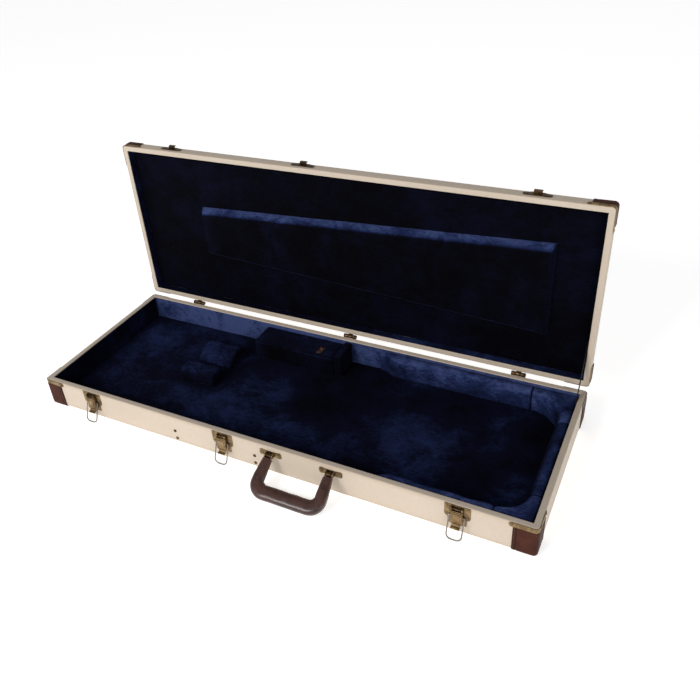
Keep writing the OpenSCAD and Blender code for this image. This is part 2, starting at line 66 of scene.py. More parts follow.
COVER_LO, COVER_HI = box_mm("base_covering")
HALF_L, HALF_W, BASE_H = COVER_HI
RIM_GAP, LID_H, HINGE_BACK = 0.5, 25, 5.5
LID_Z0 = BASE_H + RIM_GAP
LID_Z1 = LID_Z0 + LID_H
HINGE_Y, HINGE_Z = HALF_W + HINGE_BACK, BASE_H + RIM_GAP / 2
WALL = 8.0
LINING = 3.0
LINED_X, LINED_Y = HALF_L - WALL - LINING, HALF_W - WALL - LINING
CORNER_R = 6.0
FLOOR_Z = box_mm("base_floor_lining")[1][2]
BOLSTER_Z = box_mm("right_bolster")[1][2]
ROOF_DEPTH = 8
ROOF_Z = LID_Z1 - ROOF_DEPTH


def opened(v):
    """Closed-lid millimetres to the open place."""
    v = np.asarray(v, float)
    out = v.copy()
    out[..., 1] = HINGE_Y + v[..., 2] - HINGE_Z
    out[..., 2] = HINGE_Z - v[..., 1] + HINGE_Y
    return out


# ---------- smooth noise ----------


def value_noise(p, size, seed=0):
    q = np.asarray(p, float) / size + seed * 7.31
    cell = np.floor(q).astype(np.int64)
    f = q - cell
    f = f * f * (3 - 2 * f)
    total = np.zeros(q.shape[:-1])
    for dx in (0, 1):
        for dy in (0, 1):
            for dz in (0, 1):
                n = (
                    (cell[..., 0] + dx) * 73856093
                    ^ (cell[..., 1] + dy) * 19349663
                    ^ (cell[..., 2] + dz) * 83492791
                    ^ (seed * 2654435 + 977)
                ) & 0x7FFFFFFF
                n = (n * 1103515245 + 12345) & 0x7FFFFFFF
                n = ((n ^ (n >> 15)) * 2246822519) & 0x7FFFFFFF
                n = (n ^ (n >> 13)) & 0xFFFF
                w = (
                    (f[..., 0] if dx else 1 - f[..., 0])
                    * (f[..., 1] if dy else 1 - f[..., 1])
                    * (f[..., 2] if dz else 1 - f[..., 2])
                )
                total += w * (n / 32767.5 - 1)
    return total


def rumple_noise(p, size, seed=0, octaves=3):
    total, gain = 0, 1.0
    for k in range(octaves):
        total = total + gain * value_noise(p, size / 2**k, seed + k)
        gain *= 0.5
    return total


# ---------- materials ----------


def new_material(name):
    mat = bpy.data.materials.new(name)
    mat.use_nodes = True
    tree = mat.node_tree
    return mat, tree, tree.nodes["Principled BSDF"]


def node(tree, kind, values=None, **props):
    n = tree.nodes.new(kind)
    for key, value in props.items():
        setattr(n, key, value)
    for key, value in (values or {}).items():
        if isinstance(value, bpy.types.NodeSocket):
            tree.links.new(value, n.inputs[key])
        else:
            n.inputs[key].default_value = value
    return n


def coords(tree, stretch=(1, 1, 1)):
    where = node(tree, "ShaderNodeTexCoord").outputs["Object"]
    return node(tree, "ShaderNodeMapping", {"Vector": where, "Scale": stretch}).outputs[0]


def noise_of(tree, vector, scale, detail=3.0, rough=0.55, twist=0.0):
    values = {"Vector": vector, "Scale": scale, "Detail": detail, "Roughness": rough, "Distortion": twist}
    return node(tree, "ShaderNodeTexNoise", values).outputs[0]


def waves_of(tree, vector, scale, wobble, way):
    values = {"Vector": vector, "Scale": scale, "Distortion": wobble}
    return node(tree, "ShaderNodeTexWave", values, bands_direction=way).outputs["Fac"]


def cells_of(tree, vector, scale, scatter, feature):
    values = {"Vector": vector, "Scale": scale, "Randomness": scatter}
    return node(tree, "ShaderNodeTexVoronoi", values, feature=feature).outputs["Distance"]


def shade(color, share):
    return tuple(share * c for c in color)


def ramp(tree, fac, stops):
    n = node(tree, "ShaderNodeValToRGB", {"Fac": fac})
    ends = n.color_ramp.elements
    while len(ends) < len(stops):
        ends.new(0.5)
    for element, (place, color) in zip(ends, stops):
        element.position = place
        element.color = (*color, 1) if len(color) == 3 else color
    return n.outputs[0]


def grey_ramp(tree, fac, a, b, va=0.0, vb=1.0):
    return ramp(tree, fac, [(a, (va, va, va)), (b, (vb, vb, vb))])


def maths(tree, op, a, b=0.0):
    n = node(tree, "ShaderNodeMath", operation=op)
    for socket, value in zip(n.inputs, (a, b)):
        if isinstance(value, bpy.types.NodeSocket):
            tree.links.new(value, socket)
        else:
            socket.default_value = value
    return n.outputs[0]


def mixed(tree, fac, a, b, how="MIX"):
    n = node(tree, "ShaderNodeMix", data_type="RGBA", blend_type=how)
    for key, value in ((0, fac), (6, a), (7, b)):
        if isinstance(value, bpy.types.NodeSocket):
            tree.links.new(value, n.inputs[key])
        elif key:
            n.inputs[key].default_value = (*value, 1)
        else:
            n.inputs[key].default_value = value
    return n.outputs[2]


def bump(tree, height, strength, distance, below=None):
    values = {"Height": height, "Strength": strength, "Distance": distance}
    if below is not None:
        values["Normal"] = below
    return node(tree, "ShaderNodeBump", values).outputs[0]


def attribute(tree, name):
    return node(tree, "ShaderNodeAttribute", attribute_name=name).outputs["Fac"]


def finish_shader(tree, shader, color, rough, normal, **fixed):
    tree.links.new(color, shader.inputs["Base Color"])
    if isinstance(rough, bpy.types.NodeSocket):
        tree.links.new(rough, shader.inputs["Roughness"])
    else:
        shader.inputs["Roughness"].default_value = rough
    if normal is not None:
        tree.links.new(normal, shader.inputs["Normal"])
    for key, value in fixed.items():
        shader.inputs[key.replace("_", " ")].default_value = value


def vinyl_material():
    mat, tree, shader = new_material("cream_vinyl")
    at = coords(tree)
    cloud = noise_of(tree, at, 9, 4, 0.6)
    fine = noise_of(tree, at, 160, 3, 0.6)
    tone = ramp(tree, cloud, [(0.3, (0.560, 0.470, 0.375)), (0.7, (0.605, 0.515, 0.420))])
    tone = mixed(tree, grey_ramp(tree, fine, 0.35, 0.7, 0.0, 0.16), tone, (0.47, 0.37, 0.27))
    rub = maths(tree, "MULTIPLY", attribute(tree, "edge"), grey_ramp(tree, cloud, 0.35, 0.65, 0.1, 0.6))
    tone = mixed(tree, rub, tone, (0.47, 0.36, 0.25))
    # painted shade: the up-facing rim tops are greyed because they get less light than the front faces
    painted_rim_shade = maths(tree, "MULTIPLY", attribute(tree, "rim"), grey_ramp(tree, fine, 0.2, 0.8, 0.55, 0.85))
    tone = mixed(tree, painted_rim_shade, tone, (0.335, 0.290, 0.245))
    pebbles = cells_of(tree, at, 430, 0.95, "SMOOTH_F1")
    creases = noise_of(tree, at, 900, 2, 0.5)
    low = bump(tree, noise_of(tree, at, 45, 2, 0.5), 0.25, 0.0012)
    mid = bump(tree, creases, 0.2, 0.0003, low)
    normal = bump(tree, pebbles, 0.55, 0.0007, mid)
    rough = grey_ramp(tree, fine, 0.3, 0.7, 0.42, 0.58)
    finish_shader(tree, shader, tone, rough, normal, Specular_IOR_Level=0.42)
    return mat


def plush_material(name):
    """Crushed navy pile. A vertex value paints light on it: lighter where a surface faces the light, with
    random crushed patches.
    """
    mat, tree, shader = new_material(name)
    at = coords(tree)
    patches = noise_of(tree, at, 15, 5, 0.62, 1.1)
    streaks = noise_of(tree, coords(tree, (1, 2.0, 2.0)), 60, 4, 0.62, 1.6)
    pile = noise_of(tree, at, 1500, 2, 0.6)
    mask = maths(tree, "ADD", maths(tree, "MULTIPLY", patches, 0.55), maths(tree, "MULTIPLY", streaks, 0.45))
    lay = maths(tree, "MULTIPLY", maths(tree, "SUBTRACT", mask, 0.5), 2.6)
    # painted light: the vertex value lightens the pile where a surface faces the light
    nap_and_painted_light = attribute(tree, "nap_and_painted_light")
    lay = maths(tree, "MULTIPLY", lay, maths(tree, "ADD", maths(tree, "MULTIPLY", nap_and_painted_light, 0.75), 0.25))
    lay = maths(tree, "ADD", lay, nap_and_painted_light)
    tones = [
        (0.0, (0.0006, 0.0005, 0.0017)),
        (0.25, (0.0024, 0.0032, 0.0125)),
        (0.6, (0.012, 0.0205, 0.072)),
        (1.0, (0.048, 0.070, 0.186)),
    ]
    color = ramp(tree, lay, tones)
    color = mixed(tree, grey_ramp(tree, pile, 0.3, 0.75, 0.0, 0.30), color, (0.9, 0.9, 0.9), "OVERLAY")
    folds = bump(tree, streaks, 0.5, 0.0035)
    tufts = bump(tree, noise_of(tree, at, 420, 3, 0.6, 0.6), 0.45, 0.0011, folds)
    normal = bump(tree, pile, 0.5, 0.0006, tufts)
    finish_shader(
        tree,
        shader,
        color,
        0.92,
        normal,
        Sheen_Weight=0.08,
        Sheen_Roughness=0.34,
        Sheen_Tint=(0.16, 0.22, 0.62, 1),
        Specular_IOR_Level=0.05,
    )
    return mat


def leather_material(name, dark, light, rough_low, rough_high, gloss, coat=0.0):
    mat, tree, shader = new_material(name)
    at = coords(tree)
    cloud = noise_of(tree, at, 38, 4, 0.6, 0.4)
    tone = ramp(tree, cloud, [(0.32, dark), (0.72, light)])
    cells = grey_ramp(tree, cells_of(tree, at, 430, 1.0, "DISTANCE_TO_EDGE"), 0.0, 0.12)
    between = maths(tree, "SUBTRACT", 0.4, maths(tree, "MULTIPLY", cells, 0.4))
    tone = mixed(tree, between, tone, shade(dark, 0.4))
    tone = mixed(tree, maths(tree, "MULTIPLY", attribute(tree, "edge"), 0.75), tone, shade(dark, 0.45))
    pores = noise_of(tree, at, 1300, 2, 0.5)
    low = bump(tree, noise_of(tree, at, 90, 3, 0.6), 0.35, 0.0009)
    mid = bump(tree, cells, 0.4, 0.00025, low)
    normal = bump(tree, pores, 0.25, 0.00015, mid)
    rough = grey_ramp(tree, cloud, 0.3, 0.7, rough_low, rough_high)
    shine = {"Specular_IOR_Level": gloss, "Coat_Weight": coat, "Coat_Roughness": 0.22}
    finish_shader(tree, shader, tone, rough, normal, **shine)
    return mat


def metal_material(name, dark, light, rough_low, rough_high, patch=60, dirt=0.5, hollow=0.0):
    mat, tree, shader = new_material(name)
    at = coords(tree)
    cloud = noise_of(tree, at, patch, 5, 0.65, 0.5)
    specks = noise_of(tree, at, 700, 3, 0.6)
    tone = ramp(tree, cloud, [(0.34, dark), (0.68, light)])
    tone = mixed(tree, grey_ramp(tree, specks, 0.5, 0.75, 0.0, dirt), tone, shade(dark, 0.45))
    if hollow:
        shut = node(tree, "ShaderNodeAmbientOcclusion", {"Distance": 0.003}, samples=6).outputs["AO"]
        tone = mixed(tree, grey_ramp(tree, shut, 0.35, 0.92, hollow, 0.0), tone, shade(dark, 0.25))
    scratches = noise_of(tree, coords(tree, (0.08, 1, 1)), 1600, 2, 0.5)
    normal = bump(tree, scratches, 0.15, 0.0001, bump(tree, specks, 0.2, 0.00015))
    rough = grey_ramp(tree, cloud, 0.3, 0.7, rough_high, rough_low)
    finish_shader(tree, shader, tone, rough, normal, Metallic=1.0)
    return mat


def webbing_material():
    mat, tree, shader = new_material("black_webbing")
    where = node(tree, "ShaderNodeTexCoord").outputs["Object"]
    lean = (math.radians(62), 0, 0)
    turned = node(tree, "ShaderNodeMapping", {"Vector": where, "Rotation": lean}).outputs[0]
    weft = waves_of(tree, turned, 260, 0.4, "Y")
    warp = waves_of(tree, turned, 330, 0.4, "Z")
    weave = maths(tree, "MULTIPLY", weft, warp)
    tone = mixed(tree, weave, (0.004, 0.004, 0.0045), (0.016, 0.016, 0.017))
    finish_shader(tree, shader, tone, 0.8, bump(tree, weave, 0.6, 0.0004), Specular_IOR_Level=0.15)
    return mat


def ply_material():
    mat, tree, shader = new_material("birch_plywood")
    at = coords(tree, (0.12, 1, 1))
    grain = noise_of(tree, at, 120, 5, 0.65, 1.0)
    layers = waves_of(tree, coords(tree), 110, 0.2, "Z")
    tone = ramp(tree, grain, [(0.3, (0.34, 0.21, 0.11)), (0.7, (0.58, 0.42, 0.26))])
    tone = mixed(tree, maths(tree, "MULTIPLY", layers, 0.25), tone, (0.22, 0.13, 0.07))
    finish_shader(tree, shader, tone, 0.62, bump(tree, grain, 0.3, 0.0003))
    return mat


def thread_material(name, color):
    mat, tree, shader = new_material(name)
    twist = waves_of(tree, coords(tree), 900, 0.5, "DIAGONAL")
    tone = mixed(tree, twist, shade(color, 0.6), color)
    finish_shader(tree, shader, tone, 0.6, bump(tree, twist, 0.4, 0.0001))
    return mat


VINYL = vinyl_material()
PLUSH = plush_material("navy_plush")
LEATHER = leather_material("brown_leather", (0.046, 0.0135, 0.008), (0.096, 0.030, 0.019), 0.46, 0.62, 0.07)
HANDLE_LEATHER = leather_material(
    "handle_leather", (0.034, 0.012, 0.009), (0.082, 0.029, 0.021), 0.24, 0.36, 0.3, 0.5
)
BRASS = metal_material("antique_brass", (0.13, 0.078, 0.036), (0.37, 0.26, 0.135), 0.30, 0.50, hollow=0.85)
DARK_BRASS = metal_material("dark_brass", (0.035, 0.020, 0.011), (0.17, 0.105, 0.05), 0.30, 0.5, hollow=0.6)
STEEL = metal_material("grey_steel", (0.155, 0.145, 0.13), (0.31, 0.29, 0.265), 0.24, 0.38, 30, 0.2)
WEBBING = webbing_material()
PLYWOOD = ply_material()
BROWN_THREAD = thread_material("brown_thread", (0.16, 0.085, 0.055))


# ---------- mesh helpers ----------


SHARP = math.radians(38.0)


def add_mesh(name, verts, faces, mat, body, replaces=(), lid=False, edge=None, extra=None):
    verts = np.asarray(verts, float).reshape(-1, 3)
    if lid:
        verts = opened(verts)
    mesh = bpy.data.meshes.new(name)
    mesh.from_pydata((verts * MM).tolist(), [], [tuple(int(i) for i in f) for f in faces])
    for key, values in {"edge": edge, **(extra or {})}.items():
        if values is not None:
            layer = mesh.attributes.new(key, "FLOAT", "POINT")
            layer.data.foreach_set("value", np.asarray(values, np.float32).ravel())
    bm = bmesh.new()
    bm.from_mesh(mesh)
    bmesh.ops.remove_doubles(bm, verts=bm.verts, dist=2e-6)
    bmesh.ops.dissolve_degenerate(bm, edges=bm.edges, dist=1e-7)
    bmesh.ops.recalc_face_normals(bm, faces=bm.faces)
    for e in bm.edges:
        e.smooth = not (len(e.link_faces) == 2 and e.calc_face_angle(0) > SHARP)
    for f in bm.faces:
        f.smooth = True
    bm.to_mesh(mesh)
    bm.free()
    ob = bpy.data.objects.new(name, mesh)
    SCENE.collection.objects.link(ob)
    mesh.materials.append(mat)
    if body:
        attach(ob, body)
    if replaces:
        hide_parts(*replaces)
    return ob


def points_of(mesh):
    """A mesh's vertices in millimetres, and their normals."""
    found = []
    for source, key, unit in ((mesh.vertices, "co", MM), (mesh.vertex_normals, "vector", 1)):
        values = np.zeros(len(mesh.vertices) * 3, np.float32)
        source.foreach_get(key, values)
        found.append(values.reshape(-1, 3).astype(float) / unit)
    return found


def displace(ob, amount):
    """Moves each vertex along its normal by amount(points in mm, normals), in mm."""
    mesh = ob.data
    p, n = points_of(mesh)
    p = p + n * np.asarray(amount(p, n))[:, None]
    mesh.vertices.foreach_set("co", (p * MM).astype(np.float32).ravel())
    mesh.update()


def inset_polygon(points, d):
    out = []
    count = len(points)
    for i in range(count):
        a, b, c = (np.array(points[j % count], float) for j in (i - 1, i, i + 1))
        u, w = (b - a) / np.linalg.norm(b - a), (c - b) / np.linalg.norm(c - b)
        nu, nw = np.array([-u[1], u[0]]), np.array([-w[1], w[0]])
        k = 1 + np.dot(nu, nw)
        out.append(b + (nu + nw) * d / k)
    return out


def ring(points, d=0.0, r=1.0, segs=8, arc=5):
    """Outline of a convex counter-clockwise polygon, drawn in by d, with corners of radius r."""
    shape = inset_polygon(points, d)
    count = len(shape)
    segs = [segs] * count if np.isscalar(segs) else segs
    radii = [r] * count if np.isscalar(r) else r
    starts, ends, centres, normals = [], [], [], []
    for i in range(count):
        a, b, c = shape[i - 1], shape[i], shape[(i + 1) % count]
        u, w = (b - a) / np.linalg.norm(b - a), (c - b) / np.linalg.norm(c - b)
        turn = math.atan2(u[0] * w[1] - u[1] * w[0], np.dot(u, w))
        rad = max(radii[i], 0.02)
        t = rad * math.tan(turn / 2)
        starts.append(b - u * t)
        ends.append(b + w * t)
        nu = np.array([-u[1], u[0]])
        centres.append(b - u * t + nu * rad)
        normals.append((math.atan2(-nu[1], -nu[0]), turn, rad))
    out = []
    for i in range(count):
        first, turn, rad = normals[i]
        for k in range(arc + 1):
            angle = first + turn * k / arc
            out.append(centres[i] + rad * np.array([math.cos(angle), math.sin(angle)]))
        a, b = ends[i], starts[(i + 1) % count]
        for k in range(1, segs[i]):
            out.append(a + (b - a) * k / segs[i])
    return np.array(out)


def loft(rings, cap_first=True, cap_last=True, closed=False):
    count = len(rings[0])
    verts = np.concatenate([np.asarray(r, float) for r in rings])
    faces = []
    pairs = len(rings) if closed else len(rings) - 1
    for i in range(pairs):
        a, b = i * count, ((i + 1) % len(rings)) * count
        for j in range(count):
            k = (j + 1) % count
            faces.append((a + j, a + k, b + k, b + j))
    if not closed and cap_first:
        faces.append(tuple(range(count))[::-1])
    if not closed and cap_last:
        a = (len(rings) - 1) * count
        faces.append(tuple(range(a, a + count)))
    return verts, faces


def level(outline, z):
    return np.column_stack([outline, np.full(len(outline), z)])


def arc_pairs(r, steps, first=0.0, last=90.0):
    """(inset, height) pairs of a quarter round, from the flat side to the top."""
    out = []
    for k in range(steps + 1):
        t = math.radians(first + (last - first) * k / steps)
        out.append((r * (1 - math.cos(t)), r * math.sin(t)))
    return out


def relief(points, normals, height, back=0.3, edge=None):
    """Closed plate on a surface: a grid of points lifted by height, and its back sunk by back."""
    rows, cols = points.shape[:2]
    front = points + normals * np.asarray(height)[..., None]
    rear = points - normals * back
    verts = np.concatenate([front.reshape(-1, 3), rear.reshape(-1, 3)])
    half = rows * cols
    faces = []
    for i in range(rows - 1):
        for j in range(cols - 1):
            a = i * cols + j
            quad = (a, a + 1, a + cols + 1, a + cols)
            faces.append(quad)
            faces.append(tuple(half + q for q in quad[::-1]))
    border = (
        [(0, j) for j in range(cols)]
        + [(i, cols - 1) for i in range(1, rows)]
        + [(rows - 1, j) for j in range(cols - 2, -1, -1)]
        + [(i, 0) for i in range(rows - 2, 0, -1)]
    )
    loop = [i * cols + j for i, j in border]
    for a, b in zip(loop, loop[1:] + loop[:1]):
        faces.append((b, a, half + a, half + b))
    if edge is not None:
        edge = np.concatenate([np.asarray(edge).ravel(), np.ones(half)])
    return verts, faces, edge


def join_parts(parts):
    verts, faces, edges, base = [], [], [], 0
    for part in parts:
        v, f = part[0], part[1]
        verts.append(np.asarray(v, float).reshape(-1, 3))
        faces += [tuple(base + i for i in face) for face in f]
        edges.append(part[2] if len(part) > 2 and part[2] is not None else np.zeros(len(verts[-1])))
        base += len(verts[-1])
    return np.concatenate(verts), faces, np.concatenate(edges)


def tube(path, radius, sides=10, caps=True):
    path = np.asarray(path, float)
    count = len(path)
    radius = np.full(count, radius) if np.isscalar(radius) else np.asarray(radius)
    tangents = np.gradient(path, axis=0)
    tangents /= np.linalg.norm(tangents, axis=1)[:, None]
    up = np.array([0, 0, 1.0]) if abs(tangents[0][2]) < 0.9 else np.array([1.0, 0, 0])
    rings = []
    for i in range(count):
        side = np.cross(tangents[i], up)
        side /= np.linalg.norm(side)
        up = np.cross(side, tangents[i])
        angles = 2 * np.pi * np.arange(sides) / sides
        rings.append(path[i] + radius[i] * (np.cos(angles)[:, None] * side + np.sin(angles)[:, None] * up))
    return loft(rings, caps, caps)


def stitches(path, normals, pitch=4.2, length=2.8, radius=0.32, sink=0.1):
    """Separate thread stitches along a path on a surface."""
    path, normals = np.asarray(path, float), np.asarray(normals, float)
    run = np.concatenate([[0], np.cumsum(np.linalg.norm(np.diff(path, axis=0), axis=1))])
    parts = []
    count = max(1, int(run[-1] / pitch))
    for k in range(count):
        mid = (k + 0.5) * run[-1] / count
        pts, rads = [], []
        for t in np.linspace(-1, 1, 7):
            s = mid + t * length / 2
            p = np.array([np.interp(s, run, path[:, a]) for a in range(3)])
            n = np.array([np.interp(s, run, normals[:, a]) for a in range(3)])
            n /= np.linalg.norm(n)
            lift = radius * (1.1 * math.cos(t * math.pi / 2) ** 0.6 if abs(t) < 1 else 0) - sink
            pts.append(p + n * lift)
            rads.append(radius * (1 - 0.45 * t * t))
        parts.append(tube(pts, rads, 7))
    return join_parts(parts)


def paint_nap_and_light(ob, amount, seed=0, patch=70.0, spread=0.12):
    """Stores painted light, with random crushed patches, on a plush piece: amount is a function of points in mm
    and normals.
    """
    p, n = points_of(ob.data)
    value = amount(p, n) + spread * rumple_noise(p, patch, 200 + seed)
    layer = ob.data.attributes.new("nap_and_painted_light", "FLOAT", "POINT")
    layer.data.foreach_set("value", np.clip(value, 0, 1).astype(np.float32))


PRESSURE, SWELL_FRAMES = 4.0, 20


def plump(pieces, cap, voxel=4.5, hold=None):
    """Swells pads with a cloth simulation, each point by at most cap millimetres, then smooths them."""
    started = []
    for ob in pieces:
        copy = bpy.data.objects.new(ob.name + "_swell", ob.data.copy())
        SCENE.collection.objects.link(copy)
        remesh = copy.modifiers.new("remesh", "REMESH")
        remesh.mode = "VOXEL"
        remesh.voxel_size = voxel * MM
        mesh = bpy.data.meshes.new_from_object(copy.evaluated_get(bpy.context.evaluated_depsgraph_get()))
        copy.modifiers.clear()
        copy.data = mesh
        if hold:
            group = copy.vertex_groups.new(name="held")
            group.add([v.index for v in mesh.vertices if hold(np.array(v.co) / MM)], 1.0, "REPLACE")
        cloth = copy.modifiers.new("cloth", "CLOTH").settings
        cloth.use_pressure = True
        cloth.uniform_pressure_force = PRESSURE
        cloth.effector_weights.gravity = 0
        cloth.quality = 5
        cloth.tension_stiffness = cloth.compression_stiffness = 25
        cloth.shear_stiffness = 12
        cloth.bending_stiffness = 0.3
        if hold:
            cloth.vertex_group_mass = "held"
        count = len(mesh.vertices)
        rest = np.zeros(count * 3, np.float32)
        mesh.vertices.foreach_get("co", rest)
        started.append((ob, copy, rest.reshape(-1, 3)))
    for step in range(1, SWELL_FRAMES + 1):
        SCENE.frame_set(step)
    graph = bpy.context.evaluated_depsgraph_get()
    for ob, copy, rest in started:
        swollen = bpy.data.meshes.new_from_object(copy.evaluated_get(graph))
        now = np.zeros(rest.size, np.float32)
        swollen.vertices.foreach_get("co", now)
        move = now.reshape(-1, 3) - rest
        far = np.linalg.norm(move, axis=1)
        move *= np.minimum(1, cap * MM / np.maximum(far, 1e-9))[:, None]
        mesh = copy.data
        mesh.vertices.foreach_set("co", (rest + move).ravel())
        bm = bmesh.new()
        bm.from_mesh(mesh)
        every_way = dict.fromkeys(("use_axis_x", "use_axis_y", "use_axis_z"), True)
        for _ in range(2):
            bmesh.ops.smooth_vert(bm, verts=bm.verts, factor=0.5, **every_way)
        bmesh.ops.subdivide_edges(bm, edges=bm.edges, cuts=1, smooth=0.6, use_grid_fill=True)
        for f in bm.faces:
            f.smooth = True
        bm.to_mesh(ob.data)
        bm.free()
        bpy.data.objects.remove(copy)
    SCENE.frame_set(1)


RECT = [(HALF_L, -HALF_W), (HALF_L, HALF_W), (-HALF_L, HALF_W), (-HALF_L, -HALF_W)]
SIDE_SEGS = [18, 52, 18, 52]


def rect(hx, hy, cx=0.0, cy=0.0):
    return [(cx + hx, cy - hy), (cx + hx, cy + hy), (cx - hx, cy + hy), (cx - hx, cy - hy)]


# ---------- vinyl coverings ----------


def shell_rings(z_flat, z_rim, flat_r, rim_r, skin):
    """Rings of a covered tray from the middle of its flat side to the rim's inner edge."""
    up = 1 if z_rim > z_flat else -1
    profile = [(178.0, z_flat), (140.0, z_flat), (90.0, z_flat), (45.0, z_flat), (20.0, z_flat)]
    profile += [(flat_r - h, z_flat + up * d) for d, h in arc_pairs(flat_r, 7)]
    wall = np.linspace(z_flat + up * flat_r, z_rim - up * rim_r, 8)
    profile += [(0.0, z) for z in wall[1:]]
    profile += [(d, z_rim - up * (rim_r - h)) for d, h in arc_pairs(rim_r, 6)[1:]]
    inner = WALL + LINING - 0.1
    profile += [(4.0, z_rim), (7.0, z_rim), (inner - 1.3, z_rim)]
    profile += [(inner - 1.3 + h, z_rim - up * d) for d, h in arc_pairs(1.3, 5)[1:]]
    profile += [(inner, z_rim - up * 1.8), (inner - 0.5, z_rim - up * 2.2), (WALL + 0.15, z_rim - up * 2.3)]
    profile += [(WALL + 0.15, z_rim - up * 4.5), (WALL - 0.35, z_rim - up * 4.5)]
    profile += [(WALL - 0.35, z_rim - up * 1.2)]
    profile += [(WALL - 1.6, z_rim - up * skin), (rim_r + 1, z_rim - up * skin)]
    profile += [(skin, z_rim - up * (rim_r + 1)), (skin, z_flat + up * (flat_r + 2))]
    profile += [(flat_r + 2, z_flat + up * skin), (60.0, z_flat + up * skin), (177.0, z_flat + up * skin)]
    rings, edge, rim = [], [], []
    for d, z in profile:
        rings.append(level(ring(RECT, d, max(CORNER_R - d, 0.4), SIDE_SEGS, 6), z))
        lip, foot = abs(z - z_rim), abs(z - z_flat)
        worn = 1.0 if d < 2.5 and (0.2 < lip < rim_r or foot < flat_r) else 0.0
        edge.append(np.full(len(rings[-1]), worn))
        # mask of the rim tops, used for painted shade in the vinyl
        rim.append(np.full(len(rings[-1]), float(lip < 1.2 and 1.0 < d)))
    return rings, np.concatenate(edge), np.concatenate(rim)


def covering(name, z_flat, z_rim, body, nodes, lid):
    rings, edge, rim = shell_rings(z_flat, z_rim, 3.2, 1.9, 0.5)
    verts, faces = loft(rings)
    # painted shade on the rim tops, stronger on the base rim than on the lid rim
    painted_rim_shade = {"rim": rim * (0.1 if lid else 0.3)}
    return add_mesh(name, verts, faces, VINYL, body, nodes, lid, edge, extra=painted_rim_shade)


SOLE = 1.9
base_vinyl = covering("base_vinyl", SOLE, BASE_H, "base", ["base_covering", "base_panel"], False)
lid_vinyl = covering("lid_vinyl", LID_Z1, LID_Z0, "lid", ["lid_covering", "lid_panel"], True)


# ---------- plush linings ----------


def wall_plush(name, z_deep, z_rim, body, node_name):
    """Lining that runs round the inside of the walls, with a soft rolled edge at the rim."""
    up = 1 if z_rim > z_deep else -1
    heights = np.linspace(z_deep, z_rim - up * 2.0, 14)
    profile = [(WALL + 0.2, z_deep)] + [(WALL + LINING + 0.1, z) for z in heights]
    roll = 1.5
    for t in np.linspace(0, math.pi, 9)[1:]:
        d = WALL + LINING - roll + 0.1 + roll * math.cos(t)
        profile.append((d, z_rim - up * (2.0 - 1.9 * math.sin(t))))
    rings = []
    for d, z in profile:
        corner = 5.0 if d > WALL + 1.5 else 3.0
        rings.append(level(ring(RECT, d, corner, [60, 170, 60, 170], 6), z))
    verts, faces = loft(rings, closed=True)
    ob = add_mesh(name, verts, faces, PLUSH, body, [node_name], body == "lid")
    displace(
        ob,
        lambda p, n: 0.45 * rumple_noise(p * [1, 1, 0.6], 26, 3) + 0.25 * rumple_noise(p, 7, 8, 2),
    )
    return ob


base_wall_plush = wall_plush("base_wall_plush", 6.0, BASE_H - 2.4, "base", "base_wall_lining")
lid_wall_plush = wall_plush("lid_wall_plush", LID_Z1 - 6, LID_Z0 + 2.4, "lid", "lid_wall_lining")


def plush_sheet(name, z_face, z_back, body, node_name, lumps, seed, step=6):
    """A flat lining with soft lumps, its rim turned down to the back."""
    hx, hy = LINED_X - 0.3, LINED_Y - 0.3
    up = 1 if z_face > z_back else -1
    nx, ny = int(2 * hx / step), int(2 * hy / step)
    xs, ys = np.linspace(-hx, hx, nx + 1), np.linspace(-hy, hy, ny + 1)
    gx, gy = np.meshgrid(xs, ys)
    fade = np.minimum.reduce([(hx - abs(gx)) / 14, (hy - abs(gy)) / 14, np.ones_like(gx)])
    p = np.stack([gx, gy, np.zeros_like(gx)], -1)
    lump = lumps * rumple_noise(p, 64, seed) + 0.3 * rumple_noise(p, 13, seed + 5, 2)
    gz = z_face + up * (lump * fade - 1.2 * (1 - fade) ** 2 - 0.4)
    points = np.stack([gx, gy, gz], -1)
    back = np.stack([gx, gy, np.full_like(gx, z_back)], -1)
    verts = np.concatenate([points.reshape(-1, 3), back.reshape(-1, 3)])
    _, faces, _ = relief(points, np.zeros_like(points), np.zeros_like(gx))
    return add_mesh(name, verts, faces, PLUSH, body, [node_name], body == "lid")


base_floor_plush = plush_sheet("base_floor_plush", FLOOR_Z, 5.2, "base", "base_floor_lining", 0.7, 11)
lid_panel_plush = plush_sheet("lid_panel_plush", ROOF_Z, LID_Z1 - 5.2, "lid", "lid_panel_lining", 0.5, 23)


# ---------- upholstered blocks in the base ----------


def soft_profile(width, z0, z1, r_in, r_out, crown, bulge):
    """Section across a bolster, from its foot on the body side over the top to its foot at the wall."""
    pts = [(0.0, z0)]
    rise = np.linspace(z0, z1 - r_in, 8)[1:]
    pts += [(-bulge * math.sin(math.pi * (z - z0) / (z1 - z0)), z) for z in rise]
    pts += [(d, z1 - r_in + h) for d, h in arc_pairs(r_in, 6)[1:]]
    for t in np.linspace(0, 1, 9)[1:-1]:
        pts.append((r_in + t * (width - r_in - r_out), z1 + crown * math.sin(math.pi * t)))
    pts += [(width - d, z1 - r_out + h) for d, h in arc_pairs(r_out, 4)[::-1]]
    pts.append((width, z0))
    return np.array(pts)


END_R = 1.0


